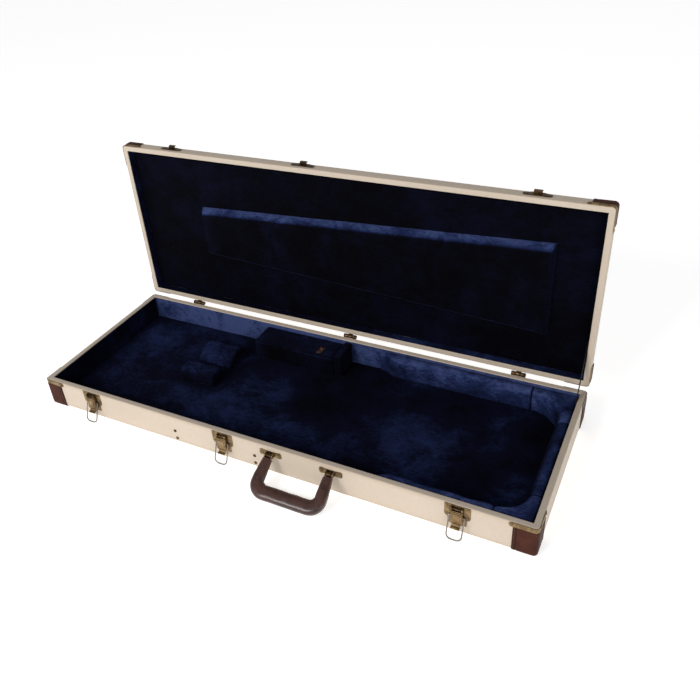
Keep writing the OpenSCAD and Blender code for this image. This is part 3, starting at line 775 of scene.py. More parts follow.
def bolster(name, node_name, inner, outer, seed):
    """Loft of the bolster's section along stations that run from inner to outer points."""
    inner, outer = np.asarray(inner, float), np.asarray(outer, float)
    run = np.concatenate([[0], np.cumsum(np.linalg.norm(np.diff(inner, axis=0), axis=1))])
    total = run[-1]
    rings = []
    for i in range(len(inner)):
        t = min(run[i], total - run[i])
        d = END_R - math.sqrt(max(END_R**2 - (END_R - t) ** 2, 0)) if t < END_R else 0.0
        span = outer[i] - inner[i]
        width = np.linalg.norm(span)
        axis = span / max(width, 1e-6)
        sec = soft_profile(max(width - d - 0.4, 14.5), FLOOR_Z - 0.5, BOLSTER_Z - d, 6.5, 3.0, 0.5, 0.9)
        xy = inner[i] + axis * (sec[:, :1] + d)
        rings.append(np.column_stack([xy, sec[:, 1]]))
    verts, faces = loft(rings)
    ob = add_mesh(name, verts, faces, PLUSH, "base", [node_name])
    displace(
        ob,
        lambda p, n: (0.55 * rumple_noise(p, 34, seed) + 0.3 * rumple_noise(p, 9, seed + 4, 2))
        * np.clip((p[:, 2] - FLOOR_Z) / 6, 0, 1),
    )
    return ob


def stations(total, step=4.5):
    """Distances along a run, crowded at both ends so that the ends round over."""
    ends = [0, 0.2 * END_R, 0.55 * END_R, END_R]
    mid = np.linspace(END_R, total - END_R, max(3, int(total / step)))[1:-1]
    return np.concatenate([ends, mid, total - np.array(ends)[::-1]]) / total


front_edge = box_mm("front_bolster")[1][1]
rear_edge = box_mm("rear_bolster")[0][1]
end_edge = box_mm("right_bolster")[0][0]
FRONT_R, REAR_R = 45.0, 62.0


def side_bolster(word, edge, side, corner_r, seed):
    """Bolster along the front (side -1) or rear wall (side 1), narrower where it starts."""
    start, wall = box_mm(f"{word}_bolster")[0][0], side * LINED_Y
    run = end_edge - corner_r - start
    xs = start + stations(run) * run
    slant = np.clip((xs - start) / 35, 0.35, 1)
    inner = np.column_stack([xs, wall + (edge - wall) * slant])
    outer = np.column_stack([xs, np.full_like(xs, wall)])
    return bolster(f"{word}_bolster_plush", f"{word}_bolster", inner, outer, seed)


front_bolster_plush = side_bolster("front", front_edge, -1, FRONT_R, 31)
rear_bolster_plush = side_bolster("rear", rear_edge, 1, REAR_R, 37)
run = rear_edge - REAR_R - front_edge - FRONT_R
ys = front_edge + FRONT_R + stations(run) * run
right_bolster_plush = bolster(
    "right_bolster_plush",
    "right_bolster",
    np.column_stack([np.full_like(ys, end_edge), ys]),
    np.column_stack([np.full_like(ys, LINED_X), ys]),
    41,
)


def corner_block(name, node_name, edge_y, side, r, seed):
    """Block that fills a corner of the body space with a hollow curve."""
    inner, outer = [], []
    for t in stations(r * math.pi / 2, 4.0):
        angle = t * math.pi / 2
        inner.append((end_edge - r + r * math.sin(angle), edge_y - side * (r - r * math.cos(angle))))
        wall_y = side * LINED_Y
        if t <= 0.5:
            outer.append((end_edge - r + (LINED_X - end_edge + r) * t / 0.5, wall_y))
        else:
            stop_y = edge_y - side * r
            outer.append((LINED_X, wall_y + (stop_y - wall_y) * (t - 0.5) / 0.5))
    return bolster(name, node_name, inner, outer, seed)


front_corner_plush = corner_block("front_corner_plush", "front_corner_block", front_edge, -1, FRONT_R, 43)
rear_corner_plush = corner_block("rear_corner_plush", "rear_corner_block", rear_edge, 1, REAR_R, 47)


def soft_bar(name, section, radii, a0, a1, end_r, node_name, seed, axis="x", rough=0.5):
    """A convex section swept along X or Y, with rounded ends and a rumpled skin."""
    pitch = 4
    sides = zip(section, section[1:] + section[:1])
    segs = [max(2, int(np.linalg.norm(np.subtract(b, a)) / pitch)) for a, b in sides]
    count = max(3, int((a1 - a0) / pitch))
    turns = np.linspace(math.pi / 2, 0, 6)
    lead = [(a0 + end_r * (1 - math.sin(t)), end_r * (1 - math.cos(t))) for t in turns]
    tail = [(a0 + a1 - a, d) for a, d in lead[::-1]]
    mid = [(a, 0.0) for a in np.linspace(a0 + end_r, a1 - end_r, count)[1:-1]]
    rings = []
    for a, d in lead + mid + tail:
        outline = ring(section, d, [max(r - d, 0.6) for r in radii], segs, 5)
        along = np.full(len(outline), a)
        if axis == "x":
            rings.append(np.column_stack([along, outline[:, 0], outline[:, 1]]))
        else:
            rings.append(np.column_stack([outline[:, 0], along, outline[:, 1]]))
    verts, faces = loft(rings)
    ob = add_mesh(name, verts, faces, PLUSH, "base", [node_name])
    displace(ob, lambda p, n: rough * (rumple_noise(p, 30, seed) + 0.5 * rumple_noise(p, 8, seed + 4, 2)))
    return ob


NECK_LO, NECK_HI = box_mm("neck_rest_rear")
neck_y = NECK_LO[1]
neck_cheeks = []
for side, word in ((-1, "front"), (1, "rear")):
    section = [(0, FLOOR_Z - 0.5), (66, FLOOR_Z - 0.5), (58, NECK_HI[2]), (30, NECK_HI[2]), (0, FLOOR_Z + 6)]
    section = [(neck_y + side * y, z) for y, z in section]
    radii = [0.8, 2, 7, 9, 1.5]
    if side < 0:
        section, radii = section[::-1], radii[::-1]
    ends = NECK_LO[0], NECK_HI[0]
    cheek = soft_bar(f"neck_{word}_plush", section, radii, *ends, 6.5, f"neck_rest_{word}", 51 + side)
    neck_cheeks.append(cheek)


def board(name, node_name, r, seed, axis, rough):
    """A plush-covered board in the place of its CAD node."""
    low, high = box_mm(node_name)
    k = 1 if axis == "x" else 0
    section = [(low[k], low[2] - 0.4), (high[k], low[2] - 0.4), (high[k], high[2]), (low[k], high[2])]
    a = 1 - k
    radii, end_r = [0.6, 0.6, r, r], min(r, 1.6)
    return soft_bar(name, section, radii, low[a], high[a], end_r, node_name, seed, axis, rough)


box_front_plush = board("compartment_front_plush", "compartment_front_wall", 1.7, 61, "x", 0.18)
box_left_plush = board("compartment_left_plush", "compartment_left_wall", 1.7, 63, "y", 0.18)
box_block_plush = board("compartment_block_plush", "compartment_right_block", 4.5, 67, "y", 0.5)

# Lid of the accessory compartment: a board wrapped in plush
low, high = box_mm("compartment_flap")
cx, cy = (low[0] + high[0]) / 2, (low[1] + high[1]) / 2
hx, hy = (high[0] - low[0]) / 2, (high[1] - low[1]) / 2
HINGE_ROOM = 0.8  # half of what the hinged edge stands clear of the fabric hinge
cy, hy = cy - HINGE_ROOM, hy - HINGE_ROOM
flap_rings = []
profile = [(27.5, 0.0), (18, 0.0), (8, 0.0)] + [(2.2 - h, d) for d, h in arc_pairs(2.2, 5)]
tall = high[2] - low[2]
profile += [(d, tall - 2.2 + h) for d, h in arc_pairs(2.2, 5)]
profile += [(d, tall) for d in (5, 9, 14, 20, 27.5)]
for d, z in profile:
    flap_rings.append(level(ring(rect(hx, hy, cx, cy), d, max(4 - d, 0.5), [14, 44, 14, 44], 5), low[2] + z))
verts, faces = loft(flap_rings)
# The top sinks towards the hinged edge, so that it clears the rim when it stands open
verts = np.array(verts, float)
near = np.clip((verts[:, 1] - (cy + hy - 19)) / 9, 0, 1)
verts[:, 2] = low[2] + (verts[:, 2] - low[2]) * (1 - 0.22 * near)
flap_plush = add_mesh("flap_plush", verts, faces, PLUSH, "flap", ["compartment_flap"])
displace(flap_plush, lambda p, n: 0.3 * rumple_noise(p, 28, 71) + 0.12 * rumple_noise(p, 7, 73, 2))


def against_case(p):
    return p[2] < FLOOR_Z + 1.5 or abs(p[1]) > LINED_Y - 2.5 or p[0] > LINED_X - 2.5


plump(neck_cheeks + [box_block_plush], 3.0)
plump(
    [front_bolster_plush, rear_bolster_plush, right_bolster_plush, front_corner_plush, rear_corner_plush],
    2.5,
    voxel=4.0,
    hold=against_case,
)


# ---------- padded panel in the lid ----------

PAD_LO, PAD_HI = box_mm("lid_pad")
pad_x0, pad_x1 = PAD_LO[0], PAD_HI[0]
pad_z = ROOF_Z - (PAD_HI[1] - PAD_LO[1])
PAD_NECK, PAD_BODY = 56.0, 95.0


def crowd(count, power=0.62):
    t = np.linspace(-1, 1, count)
    return np.sign(t) * np.abs(t) ** power


us, vs = crowd(190, 0.8), crowd(56, 0.7)
gu, gv = np.meshgrid(us, vs)
gx = (pad_x0 + pad_x1) / 2 + gu * (pad_x1 - pad_x0) / 2
half = PAD_NECK + (PAD_BODY - PAD_NECK) * (gx - pad_x0) / (pad_x1 - pad_x0)
gy = gv * half
side_d, end_d = (half - abs(gy)) / 13.0, np.minimum(gx - pad_x0, pad_x1 - gx) / 6.0
k = 5.0
near = -np.log(np.exp(-k * np.minimum(side_d, 3)) + np.exp(-k * np.minimum(end_d, 3))) / k
near = np.clip(near, 0, None)
rise = np.where(near < 1, np.sin(np.clip(near, 0, 1) * math.pi / 2) ** 0.95, 1.0)
depth = ROOF_Z - pad_z
soft = rumple_noise(np.stack([gx, gy, gx * 0], -1), 58, 81) * 0.7
soft = soft + 0.35 * rumple_noise(np.stack([gx, gy, gx * 0], -1), 12, 85, 2)
gz = ROOF_Z + 0.4 - rise * (depth - 0.9 + soft * np.clip(near, 0.15, 1)) - 0.5 * rise
points = np.stack([gx, gy, gz], -1)
rear = np.stack([gx, gy, np.full_like(gx, ROOF_Z + 1.2)], -1)
_, faces, _ = relief(points, np.zeros_like(points), np.zeros_like(gx))
verts = np.concatenate([points.reshape(-1, 3), rear.reshape(-1, 3)])
lid_pad_plush = add_mesh("lid_pad_plush", verts, faces, PLUSH, "lid", ["lid_pad"], True)


# ---------- corner protectors ----------


def near_end(count):
    """Places from 0 to 1 that crowd towards 0."""
    return np.linspace(0, 1, count) ** 1.6


def corner_grid(sx, sy, levels, leg_of, straight, arc):
    """Points and normals round one corner of the case. levels gives (inset, height, tilt) rows, where
    tilt is the share of the normal that points along Z."""
    points, normals, along = [], [], []
    for d, z, tilt in levels:
        leg = leg_of(z, d)
        r = max(CORNER_R - d, 0.3)
        x1, y1 = HALF_L - d, HALF_W - d
        row, nor, run = [], [], []
        x_leg = HALF_L - leg + (x1 - r - HALF_L + leg) * near_end(straight)
        y_leg = y1 - r + (HALF_W - leg - y1 + r) * (1 - near_end(straight)[::-1])
        for x in x_leg:
            row.append((x, y1))
            nor.append((0, 1))
            run.append(x - (HALF_L - leg))
        for k in range(1, arc):
            a = math.radians(90 - 90 * k / arc)
            row.append((x1 - r + r * math.cos(a), y1 - r + r * math.sin(a)))
            nor.append((math.cos(a), math.sin(a)))
            run.append(leg)
        for y in y_leg:
            row.append((x1, y))
            nor.append((1, 0))
            run.append(y - (HALF_W - leg))
        flat = math.sqrt(max(1 - tilt * tilt, 0))
        points.append([(sx * x, sy * y, z) for x, y in row])
        normals.append([(sx * a * flat, sy * b * flat, tilt) for a, b in nor])
        along.append(run)
    return np.array(points, float), np.array(normals, float), np.array(along, float)


def plate_height(distance, thick, rim):
    t = np.clip(distance / rim, 0, 1)
    return thick * np.sqrt(1 - (1 - t) ** 2)


def leather_cap(sx, sy, z_flat, z_strip, leg, thick=1.3, edge_r=3.2):
    """Leather over one corner: the flat side, the rounded edge and both faces up to the strip."""
    up = 1 if z_strip > z_flat else -1
    insets = [leg - margin for margin in (1.0, 1.6, 2.4, 4, 7)] + [28, 22, 16, 11, 7.5, 5]
    levels = [(d, z_flat, -up) for d in insets]
    for k in range(0, 7):
        a = math.radians(90 * k / 6)
        z = z_flat + up * edge_r * (1 - math.cos(a))
        levels.append((edge_r * (1 - math.sin(a)), z, -up * math.cos(a)))
    rise = np.linspace(z_flat + up * edge_r, z_strip, 12)[1:]
    levels += [(0.0, z, 0.0) for z in (*rise[:-1], z_strip - up * 0.5, rise[-1])]
    points, normals, along = corner_grid(sx, sy, levels, lambda z, d: leg, 26, 7)
    flat_run = np.array([leg - d if z == z_flat and d > 4 else 99 for d, z, _ in levels])
    distance = np.minimum(along, flat_run[:, None])
    height = plate_height(distance, thick, 1.6)
    puff = np.clip(np.minimum(distance, 12) / 12, 0, 1)
    height = height + 0.35 * puff * (1 + 0.5 * rumple_noise(points, 14, 91, 2))
    crease = np.exp(-(((distance - 6.6) / 0.7) ** 2))
    border = np.clip((6.6 - distance) / 0.8, 0, 1)
    height = height - 0.45 * crease + 0.25 * border * np.clip(distance / 1.6, 0, 1)
    edge = np.clip(np.clip(1 - distance / 2.0, 0, 1) + 0.9 * crease + 0.45 * border, 0, 1)
    return relief(points, normals, height, 0.2, edge), (points, normals, height, along)


def cap_stitches(grid, inset=3.2):
    """Rows of thread just inside both edges of a cap."""
    points, normals, height, along = grid
    parts = []
    wall_rows = [i for i in range(len(points)) if abs(normals[i, 0, 2]) < 0.5]
    cols = along.shape[1] // 2
    for way in (1, -1):
        path, nor = [], []
        for i in wall_rows:
            runs, pts, lifts = (x[i][::way][:cols] for x in (along, points, height))
            n = normals[i][::way][0]
            p = np.array([np.interp(inset, runs, pts[:, a]) for a in range(3)])
            path.append(p + n * np.interp(inset, runs, lifts))
            nor.append(n)
        parts.append(stitches(path, nor, 4.0, 2.7, 0.3))
    return join_parts(parts)


CORNERS = [(sx, sy) for sx in (-1, 1) for sy in (-1, 1)]
STRIP = {}
for word, strip_node, lid in (("base", "base_corner_strips", False), ("lid", "lid_corner_strips", True)):
    low, high = box_mm(strip_node)
    if lid:
        STRIP[word] = (HINGE_Z + low[1] - HINGE_Y, HINGE_Z + high[1] - HINGE_Y)
    else:
        STRIP[word] = (low[2], high[2])
CAP_LEG, STRIP_LEG = 40.0, 47.0

for word, lid in (("base", False), ("lid", True)):
    z_flat = LID_Z1 if lid else SOLE
    z_strip = STRIP[word][1] + 0.1 if lid else STRIP[word][0] - 0.1
    caps = [leather_cap(sx, sy, z_flat, z_strip, CAP_LEG) for sx, sy in CORNERS]
    verts, faces, edge = join_parts([c[0] for c in caps])
    covered = [f"{word}_corner_caps"]
    add_mesh(f"{word}_corner_leather", verts, faces, LEATHER, word, covered, lid, edge)
    verts, faces, _ = join_parts([cap_stitches(c[1]) for c in caps])
    add_mesh(f"{word}_corner_stitching", verts, faces, BROWN_THREAD, word, lid=lid)


def brass_strip(sx, sy, z0, z1, leg, thick=1.0):
    mid, r = (z0 + z1) / 2, (z1 - z0) / 2
    angles = np.linspace(-90, 90, 15)
    zs = [mid + r * math.sin(math.radians(a)) for a in angles]

    def leg_of(z, d):
        return leg - r + math.sqrt(max(r * r - (z - mid) ** 2, 0.0))

    points, normals, along = corner_grid(sx, sy, [(0.0, z, 0.0) for z in zs], leg_of, 16, 8)
    place = leg - r + np.sqrt(np.clip(r * r - (points[..., 2] - mid) ** 2, 0, None))
    x_from_end = along - (place - (leg - r))
    radial = np.hypot(np.minimum(x_from_end, 0), points[..., 2] - mid)
    distance = np.clip(r - radial, 0, None)
    height = 0.1 + plate_height(distance, thick, 0.7)
    bead = np.exp(-(((distance - 1.7) / 0.45) ** 2)) * 0.28
    return relief(points, normals, height - bead, 0.2, np.clip(1 - distance, 0, 1))


for word, lid in (("base", False), ("lid", True)):
    parts = [brass_strip(sx, sy, *STRIP[word], STRIP_LEG) for sx, sy in CORNERS]
    verts, faces, edge = join_parts(parts)
    add_mesh(f"{word}_corner_brass", verts, faces, BRASS, word, [f"{word}_corner_strips"], lid, edge)


# ---------- domed nails and screws ----------


# Shares of the head's radius and height, from the foot to the crown
DOME_PROFILE = [(1.0, -0.3), (1.0, 0.12), (0.97, 0.35), (0.86, 0.62), (0.68, 0.82), (0.42, 0.95), (0.12, 1.0)]


def dome(place, out, r, h):
    """A round head that stands on a surface at place and faces out."""
    out = np.array(out, float)
    side = np.cross(out, [0, 0, 1.0]) if abs(out[2]) < 0.9 else np.array([1.0, 0, 0])
    side /= np.linalg.norm(side)
    up = np.cross(out, side)
    angles = 2 * np.pi * np.arange(20) / 20
    circle = np.cos(angles)[:, None] * side + np.sin(angles)[:, None] * up
    rings = []
    for d, lift in DOME_PROFILE:
        rings.append(np.array(place) + circle * r * d + out * (h * lift))
    return loft(rings)


def nail_places(z):
    out = []
    for sx, sy in CORNERS:
        for inward in (12.0, STRIP_LEG - 5):
            out.append(((sx * (HALF_L - inward), sy * (HALF_W + 0.9), z), (0, sy, 0)))
            out.append(((sx * (HALF_L + 0.9), sy * (HALF_W - inward), z), (sx, 0, 0)))
    return out


def middle(node_name, axis):
    """Middle of a node's box along one axis, in millimetres."""
    low, high = box_mm(node_name)
    return (low[axis] + high[axis]) / 2


def add_heads(name, heads, mat, body, node_name):
    verts, faces, _ = join_parts(heads)
    add_mesh(name, verts, faces, mat, body, [node_name], body == "lid")


LATCH_X = [middle(f"{w}_latch_plate", 0) for w in ("left", "middle", "right")]
HINGE_X = [-379.0, 16.0, 379.0]
BRACKET_X = [middle(f"{w}_handle_bracket", 0) for w in ("left", "right")]
PLATE_TOP = box_mm("left_latch_plate")[1][2]
HANDLE_Z = middle("left_handle_bracket", 2)
base_mid = sum(STRIP["base"]) / 2
lid_mid = sum(STRIP["lid"]) / 2

heads = [dome(p, n, 2.1, 1.3) for p, n in nail_places(base_mid)]
for x in LATCH_X:
    for dx in (-17.5, 17.5):
        for z in (PLATE_TOP - 4, 41.0):
            heads.append(dome((x + dx, -HALF_W - 1.2, z), (0, -1, 0), 1.8, 1.0))
for x in BRACKET_X:
    for dx in (-16.5, 16.5):
        heads.append(dome((x + dx, -HALF_W - 1.5, HANDLE_Z), (0, -1, 0), 2.6, 1.5))
for x in HINGE_X:
    for dx in (-9, 0, 9):
        heads.append(dome((x + dx, HALF_W + 1.5, HINGE_Z - 15), (0, 1, 0), 2.2, 1.0))
add_heads("base_nail_heads", heads, BRASS, "base", "base_screws")

CATCH_Z = 80.5
heads = [dome(p, n, 2.1, 1.3) for p, n in nail_places(lid_mid)]
for x in LATCH_X:
    for dx in (-17, 17):
        heads.append(dome((x + dx, -HALF_W - 1.2, CATCH_Z - 4), (0, -1, 0), 1.8, 1.0))
for x in HINGE_X:
    for dx in (-9, 0, 9):
        heads.append(dome((x + dx, HALF_W + 1.5, HINGE_Z + 15), (0, 1, 0), 2.2, 1.0))
add_heads("lid_nail_heads", heads, BRASS, "lid", "lid_screws")

FRONT_RIVETS = [(-184, 29), (-182, 11.5), (-4, 29.5), (-4, 12)]
heads = [dome((x, -HALF_W, z), (0, -1, 0), 3.3, 1.8) for x, z in FRONT_RIVETS]
add_heads("front_rivet_heads", heads, DARK_BRASS, "base", "front_rivets")


# ---------- handle ----------

HANDLE_X = sum(BRACKET_X) / 2
SPAN = BRACKET_X[1] - BRACKET_X[0]
DROOP = math.radians(30.5)
PIVOT = np.array([HANDLE_X, -HALF_W - 6.5, HANDLE_Z])


def hung(v):
    """Handle drawing (x, outward as -y, thickness z) to its hanging place."""
    v = np.asarray(v, float)
    y, z = v[..., 1], v[..., 2]
    return np.stack(
        [
            PIVOT[0] + v[..., 0],
            PIVOT[1] + y * math.cos(DROOP) - z * math.sin(DROOP),
            PIVOT[2] + y * math.sin(DROOP) + z * math.cos(DROOP),
        ],
        -1,
    )


def grip_line():
    """Middle line of the grip as (x, y, half width, half thickness), left leg, bar, right leg."""
    half = SPAN / 2
    left = []
    for t in np.linspace(0, 1, 18):
        y = -5.4 - 39.6 * t
        width, thick = 8.4 + 2.8 * min(1, t * 1.25) ** 0.8, 6.0 + 2.2 * min(1, t * 1.3) ** 0.8
        left.append((-half - 2.0 * t, y, width, thick))
    r, cx, cy = 19.5, -half - 2.0 + 19.5, -45.0
    for a in np.linspace(180, 270, 14)[1:]:
        t = (a - 180) / 90
        x, y = cx + r * math.cos(math.radians(a)), cy + r * math.sin(math.radians(a))
        left.append((x, y, 11.2 + 2.1 * t + 0.8 * math.sin(math.pi * t), 8.2 + 0.6 * t))
    for x in np.linspace(cx, 0, 15)[1:]:
        left.append((x, -64.5, 13.3, 8.8))
    return left + [(-x, y, w, t) for x, y, w, t in left[:-1][::-1]]


line = np.array(grip_line())
grip_path = line[:, :2]
tangent = np.gradient(grip_path, axis=0)
tangent /= np.linalg.norm(tangent, axis=1)[:, None]
outward = np.column_stack([tangent[:, 1], -tangent[:, 0]])
rings = []
SEAM = 0.74
seam_path, seam_normal = {1: [], -1: []}, {1: [], -1: []}
for i, (p, n) in enumerate(zip(grip_path, outward)):
    width, thick = line[i, 2], line[i, 3]
    section = []
    for a in np.linspace(0, 2 * np.pi, 49)[:-1]:
        c, s = math.cos(a), math.sin(a)
        c, s = math.copysign(abs(c) ** 0.72, c), math.copysign(abs(s) ** 0.72, s)
        sunk = 0.09 * math.exp(-(((c + SEAM) / 0.07) ** 2)) if abs(s) > 0.3 else 0.0
        welt = 0.9 * math.exp(-((s / 0.16) ** 2)) if c < 0 else 0.0
        reach = width * c - welt
        section.append((p[0] + n[0] * reach, p[1] + n[1] * reach, thick * s * (1 - sunk)))
    rings.append(section)
    for flip in (1, -1):
        s = (1 - SEAM ** (2 / 0.72)) ** (0.72 / 2)
        x, y = p[0] - n[0] * width * SEAM, p[1] - n[1] * width * SEAM
        seam_path[flip].append((x, y, flip * thick * s * 0.92))
        seam_normal[flip].append((n[0] * -0.25, n[1] * -0.25, flip * 0.95))
rings = [rings[0]] + rings + [rings[-1]]
for k, i in ((0, 1), (-1, -2)):
    x0, y0 = grip_path[k][0] * 0.28, grip_path[k][1] * 0.28
    rings[k] = [(a * 0.72 + x0, b * 0.72 + y0 + 0.8, c * 0.72) for a, b, c in rings[i]]
verts, faces = loft([hung(r) for r in rings])
grip = add_mesh("grip_leather", verts, faces, HANDLE_LEATHER, "handle", ["handle_grip"])
displace(grip, lambda p, n: 0.30 * rumple_noise(p, 15, 95, 2))
parts = []
origin = hung(np.zeros((1, 3)))[0]
for flip in (1, -1):
    path = hung(np.array(seam_path[flip]))
    nor = hung(np.array(seam_normal[flip])) - origin
    parts.append(stitches(path[3:-3], nor[3:-3], 4.4, 3.0, 0.38, 0.0))
verts, faces, _ = join_parts(parts)
add_mesh("grip_stitching", verts, faces, BROWN_THREAD, "handle")


# ---------- accessory flap tab ----------

low, high = box_mm("flap_pull_tab")
tab_w, tab_l = high[0] - low[0], high[1] - low[1]
tx = (low[0] + high[0]) / 2
rows, cols = 26, 13
grid, height = np.zeros((rows, cols, 3)), np.zeros((rows, cols))
for i in range(rows):
    t = i / (rows - 1)
    y = low[1] + t * tab_l
    free = max(0, 1 - t / 0.55)
    r_end = tab_w / 2
    cut = r_end - math.sqrt(max(r_end**2 - max(0, r_end - t * tab_l) ** 2, 0.0))
    for j in range(cols):
        s = -1 + 2 * j / (cols - 1)
        half = max(tab_w / 2 - cut, 0.6)
        grid[i, j] = (tx + s * half, y, low[2] + 0.35 + 1.6 * free**2)
        height[i, j] = 1.0
up = np.zeros_like(grid)
up[..., 2] = 1
verts, faces, edge = relief(grid, up, height, 0.0, np.zeros((rows, cols)))
add_mesh("pull_tab_leather", verts, faces, HANDLE_LEATHER, "flap", ["flap_pull_tab"], edge=edge)
verts, faces = dome((tx, high[1] - 5.5, low[2] + 1.2), (0, 0, 1), 2.6, 1.5)
add_mesh("pull_tab_rivet", verts, faces, BRASS, "flap")


# ---------- stay strap ----------

low, high = box_mm("lid_stay_strap")
STAY_BASE, STAY_LID = (148.0, BASE_H - 5.5), (92.0, 72.0)  # (y, z), the second with the lid shut
anchor_base, anchor_lid = np.array(STAY_BASE), opened([0, *STAY_LID])[1:]
along = anchor_lid - anchor_base
length = np.linalg.norm(along)
along /= length
across = np.array([-along[1], along[0]])
rows, cols = 48, 9
grid, height = np.zeros((rows, cols, 3)), np.zeros((rows, cols))
for i in range(rows):
    s = -4 + (length + 8) * i / (rows - 1)
    for j in range(cols):
        w = -6.8 + 13.6 * j / (cols - 1)
        y, z = anchor_base + along * s + across * w
        grid[i, j] = ((low[0] + high[0]) / 2 - 0.1, y, z)
        height[i, j] = 0.55 - (0.2 if j in (0, cols - 1) else 0)
side = np.zeros_like(grid)
side[..., 0] = -1
verts, faces, _ = relief(grid, side, height, 0.5)
stay = add_mesh("stay_webbing", verts, faces, WEBBING, None, ["lid_stay_strap"])
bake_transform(stay)


# ---------- CAD nodes that stay: rounded edges and their own materials ----------

METAL_BEVEL = 0.00028
# The first row with a word in the node's name gives its material
NODE_LOOKS = [
    (("panel_lining",), PLUSH),
    (("wall", "base_panel", "lid_panel"), PLYWOOD),
    (("bail",), STEEL),
    (("hinge", "catch", "latch_pivot_pins", "handle_core"), DARK_BRASS),
    (("stay_strap",), WEBBING),
    (("covering",), VINYL),
    (("cap", "grip", "tab"), LEATHER),
    (("latch", "bracket", "anchor", "strip", "screw", "rivet"), BRASS),
]
for name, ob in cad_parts.items():
    mat = next((m for words, m in NODE_LOOKS if any(w in name for w in words)), PLUSH)
    ob.data.materials.clear()
    ob.data.materials.append(mat)
    if mat in (BRASS, DARK_BRASS, STEEL):
        weld = ob.modifiers.new("weld", "WELD")
        weld.merge_threshold = 1e-6
        if mat != STEEL:
            bevel = ob.modifiers.new("bevel", "BEVEL")
            bevel.width = METAL_BEVEL
            bevel.segments = 2
            bevel.limit_method = "ANGLE"
            bevel.angle_limit = math.radians(40)
            bevel.harden_normals = True


# ---------- painted light on the pile by the way each surface faces, with random crushed patches ---


def mixer(floor_value, up=0.0, rear_face=0.0, front_face=0.0, right_face=0.0, left_face=0.0):
    """Painted light on the pile by the way a surface faces: up, -Y (rear wall), +Y, +X and -X."""

    def amount(p, n):
        pos = np.clip(n, 0, 1) ** 1.5
        neg = np.clip(-n, 0, 1) ** 1.5
        return (
            floor_value
            + up * pos[:, 2]
            + rear_face * neg[:, 1]
            + front_face * pos[:, 1]
            + right_face * pos[:, 0]
            + left_face * neg[:, 0]
        )

    return amount


# painted light per piece: up-facing tops, the rear wall and the pad's bevel lighter, the lid panel and floor
# darker, plus random crushed patches
paint_nap_and_light(base_wall_plush, mixer(0.12, up=0.4, rear_face=0.74, right_face=0.12, left_face=0.2), 1, 60, 0.2)


def lid_wall_painted_light(p, n):
    """Painted light: up-facing pile gets lighter towards the right end."""
    upward = np.clip(n[:, 2], 0, 1) ** 1.5
    growing = np.clip(0.10 + (p[:, 0] + 60) / 1100, 0.08, 0.42)
    return mixer(0.05, right_face=0.30, left_face=0.03)(p, n) + upward * growing


paint_nap_and_light(lid_wall_plush, lid_wall_painted_light, 2)
paint_nap_and_light(base_floor_plush, mixer(0.09, up=0.15), 3, 90, 0.18)
paint_nap_and_light(lid_panel_plush, mixer(0.045), 4, 120, 0.06)
paint_nap_and_light(lid_pad_plush, mixer(0.035, up=0.95, right_face=0.12), 5, 60, 0.09)
bolsters = [front_bolster_plush, right_bolster_plush, rear_bolster_plush, front_corner_plush, rear_corner_plush]
for k, ob in enumerate(bolsters):
    paint_nap_and_light(ob, mixer(0.10, up=0.60, rear_face=0.50, left_face=0.1), 6 + k, 45, 0.24)
for k, ob in enumerate(neck_cheeks):
    paint_nap_and_light(ob, mixer(0.06, up=0.30, rear_face=0.1), 12 + k, 40, 0.14)
paint_nap_and_light(box_front_plush, mixer(0.09, up=0.3), 15)
paint_nap_and_light(box_left_plush, mixer(0.05, up=0.3), 16)
paint_nap_and_light(box_block_plush, mixer(0.04, up=0.22), 17)
paint_nap_and_light(flap_plush, mixer(0.07, up=0.13), 18, 50, 0.08)


# ---------- floor, light and camera ----------

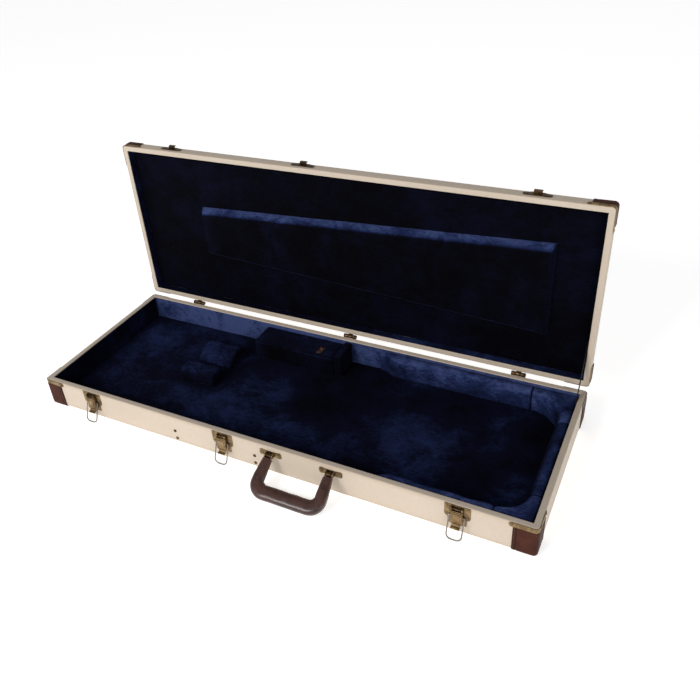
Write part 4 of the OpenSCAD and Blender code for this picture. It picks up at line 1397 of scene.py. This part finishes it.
floor_mesh = bpy.data.meshes.new("studio_floor")
span = 60.0
floor_corners = [(x * span, y * span, 0) for x, y in ((-1, -1), (1, -1), (1, 1), (-1, 1))]
floor_mesh.from_pydata(floor_corners, [], [(0, 1, 2, 3)])
floor = bpy.data.objects.new("studio_floor", floor_mesh)
floor.location.z = -0.0006
SCENE.collection.objects.link(floor)
floor_mat, tree, shader = new_material("studio_floor")
shader.inputs["Base Color"].default_value = (0.95, 0.95, 0.95, 1)
shader.inputs["Roughness"].default_value = 0.8
shader.inputs["Emission Color"].default_value = (1, 1, 1, 1)
shader.inputs["Emission Strength"].default_value = 0.61
floor_mesh.materials.append(floor_mat)

world = bpy.data.worlds.new("studio")
world.use_nodes = True
sky = world.node_tree
ahead = node(sky, "ShaderNodeTexCoord").outputs["Generated"]
height = node(sky, "ShaderNodeSeparateXYZ", {"Vector": ahead}).outputs["Z"]
backdrop = sky.nodes["Background"]
sky.links.new(ramp(sky, height, [(0.12, (1, 1, 1)), (0.75, (0.42, 0.42, 0.43))]), backdrop.inputs[0])
backdrop.inputs[1].default_value = 0.64
SCENE.world = world


def area_light(name, place, target, size, power, color=(1, 1, 1)):
    data = bpy.data.lights.new(name, "AREA")
    data.shape = "RECTANGLE"
    data.size, data.size_y = size
    data.energy = power
    data.color = color
    ob = bpy.data.objects.new(name, data)
    ob.location = place
    direction = Vector(target) - Vector(place)
    ob.rotation_euler = direction.to_track_quat("-Z", "Y").to_euler()
    SCENE.collection.objects.link(ob)


area_light("key", (-0.9, -2.6, 1.8), (0, 0, 0.1), (1.3, 1.0), 50, (1, 0.985, 0.96))
area_light("fill", (2.4, -2.0, 1.4), (0, 0, 0.1), (1.0, 1.2), 12)

camera_data = bpy.data.cameras.new("camera")
camera = bpy.data.objects.new("camera", camera_data)
camera_data.sensor_width = 36
camera_data.lens = 38.39
camera_data.shift_x = 0.0337
camera_data.shift_y = -0.0240
camera_data.clip_end = 60
forward = Vector((-0.4113, 0.7226, -0.5556)).normalized()
right = Vector((0.8891, 0.4523, -0.0699)).normalized()
up = right.cross(forward).normalized()
right = forward.cross(up).normalized()
turn = Matrix((right, up, -forward)).transposed().to_4x4()
camera.matrix_world = Matrix.Translation((0.6285, -0.9910, 0.9631)) @ turn
SCENE.collection.objects.link(camera)
SCENE.camera = camera
SCENE.view_settings.view_transform = "Standard"
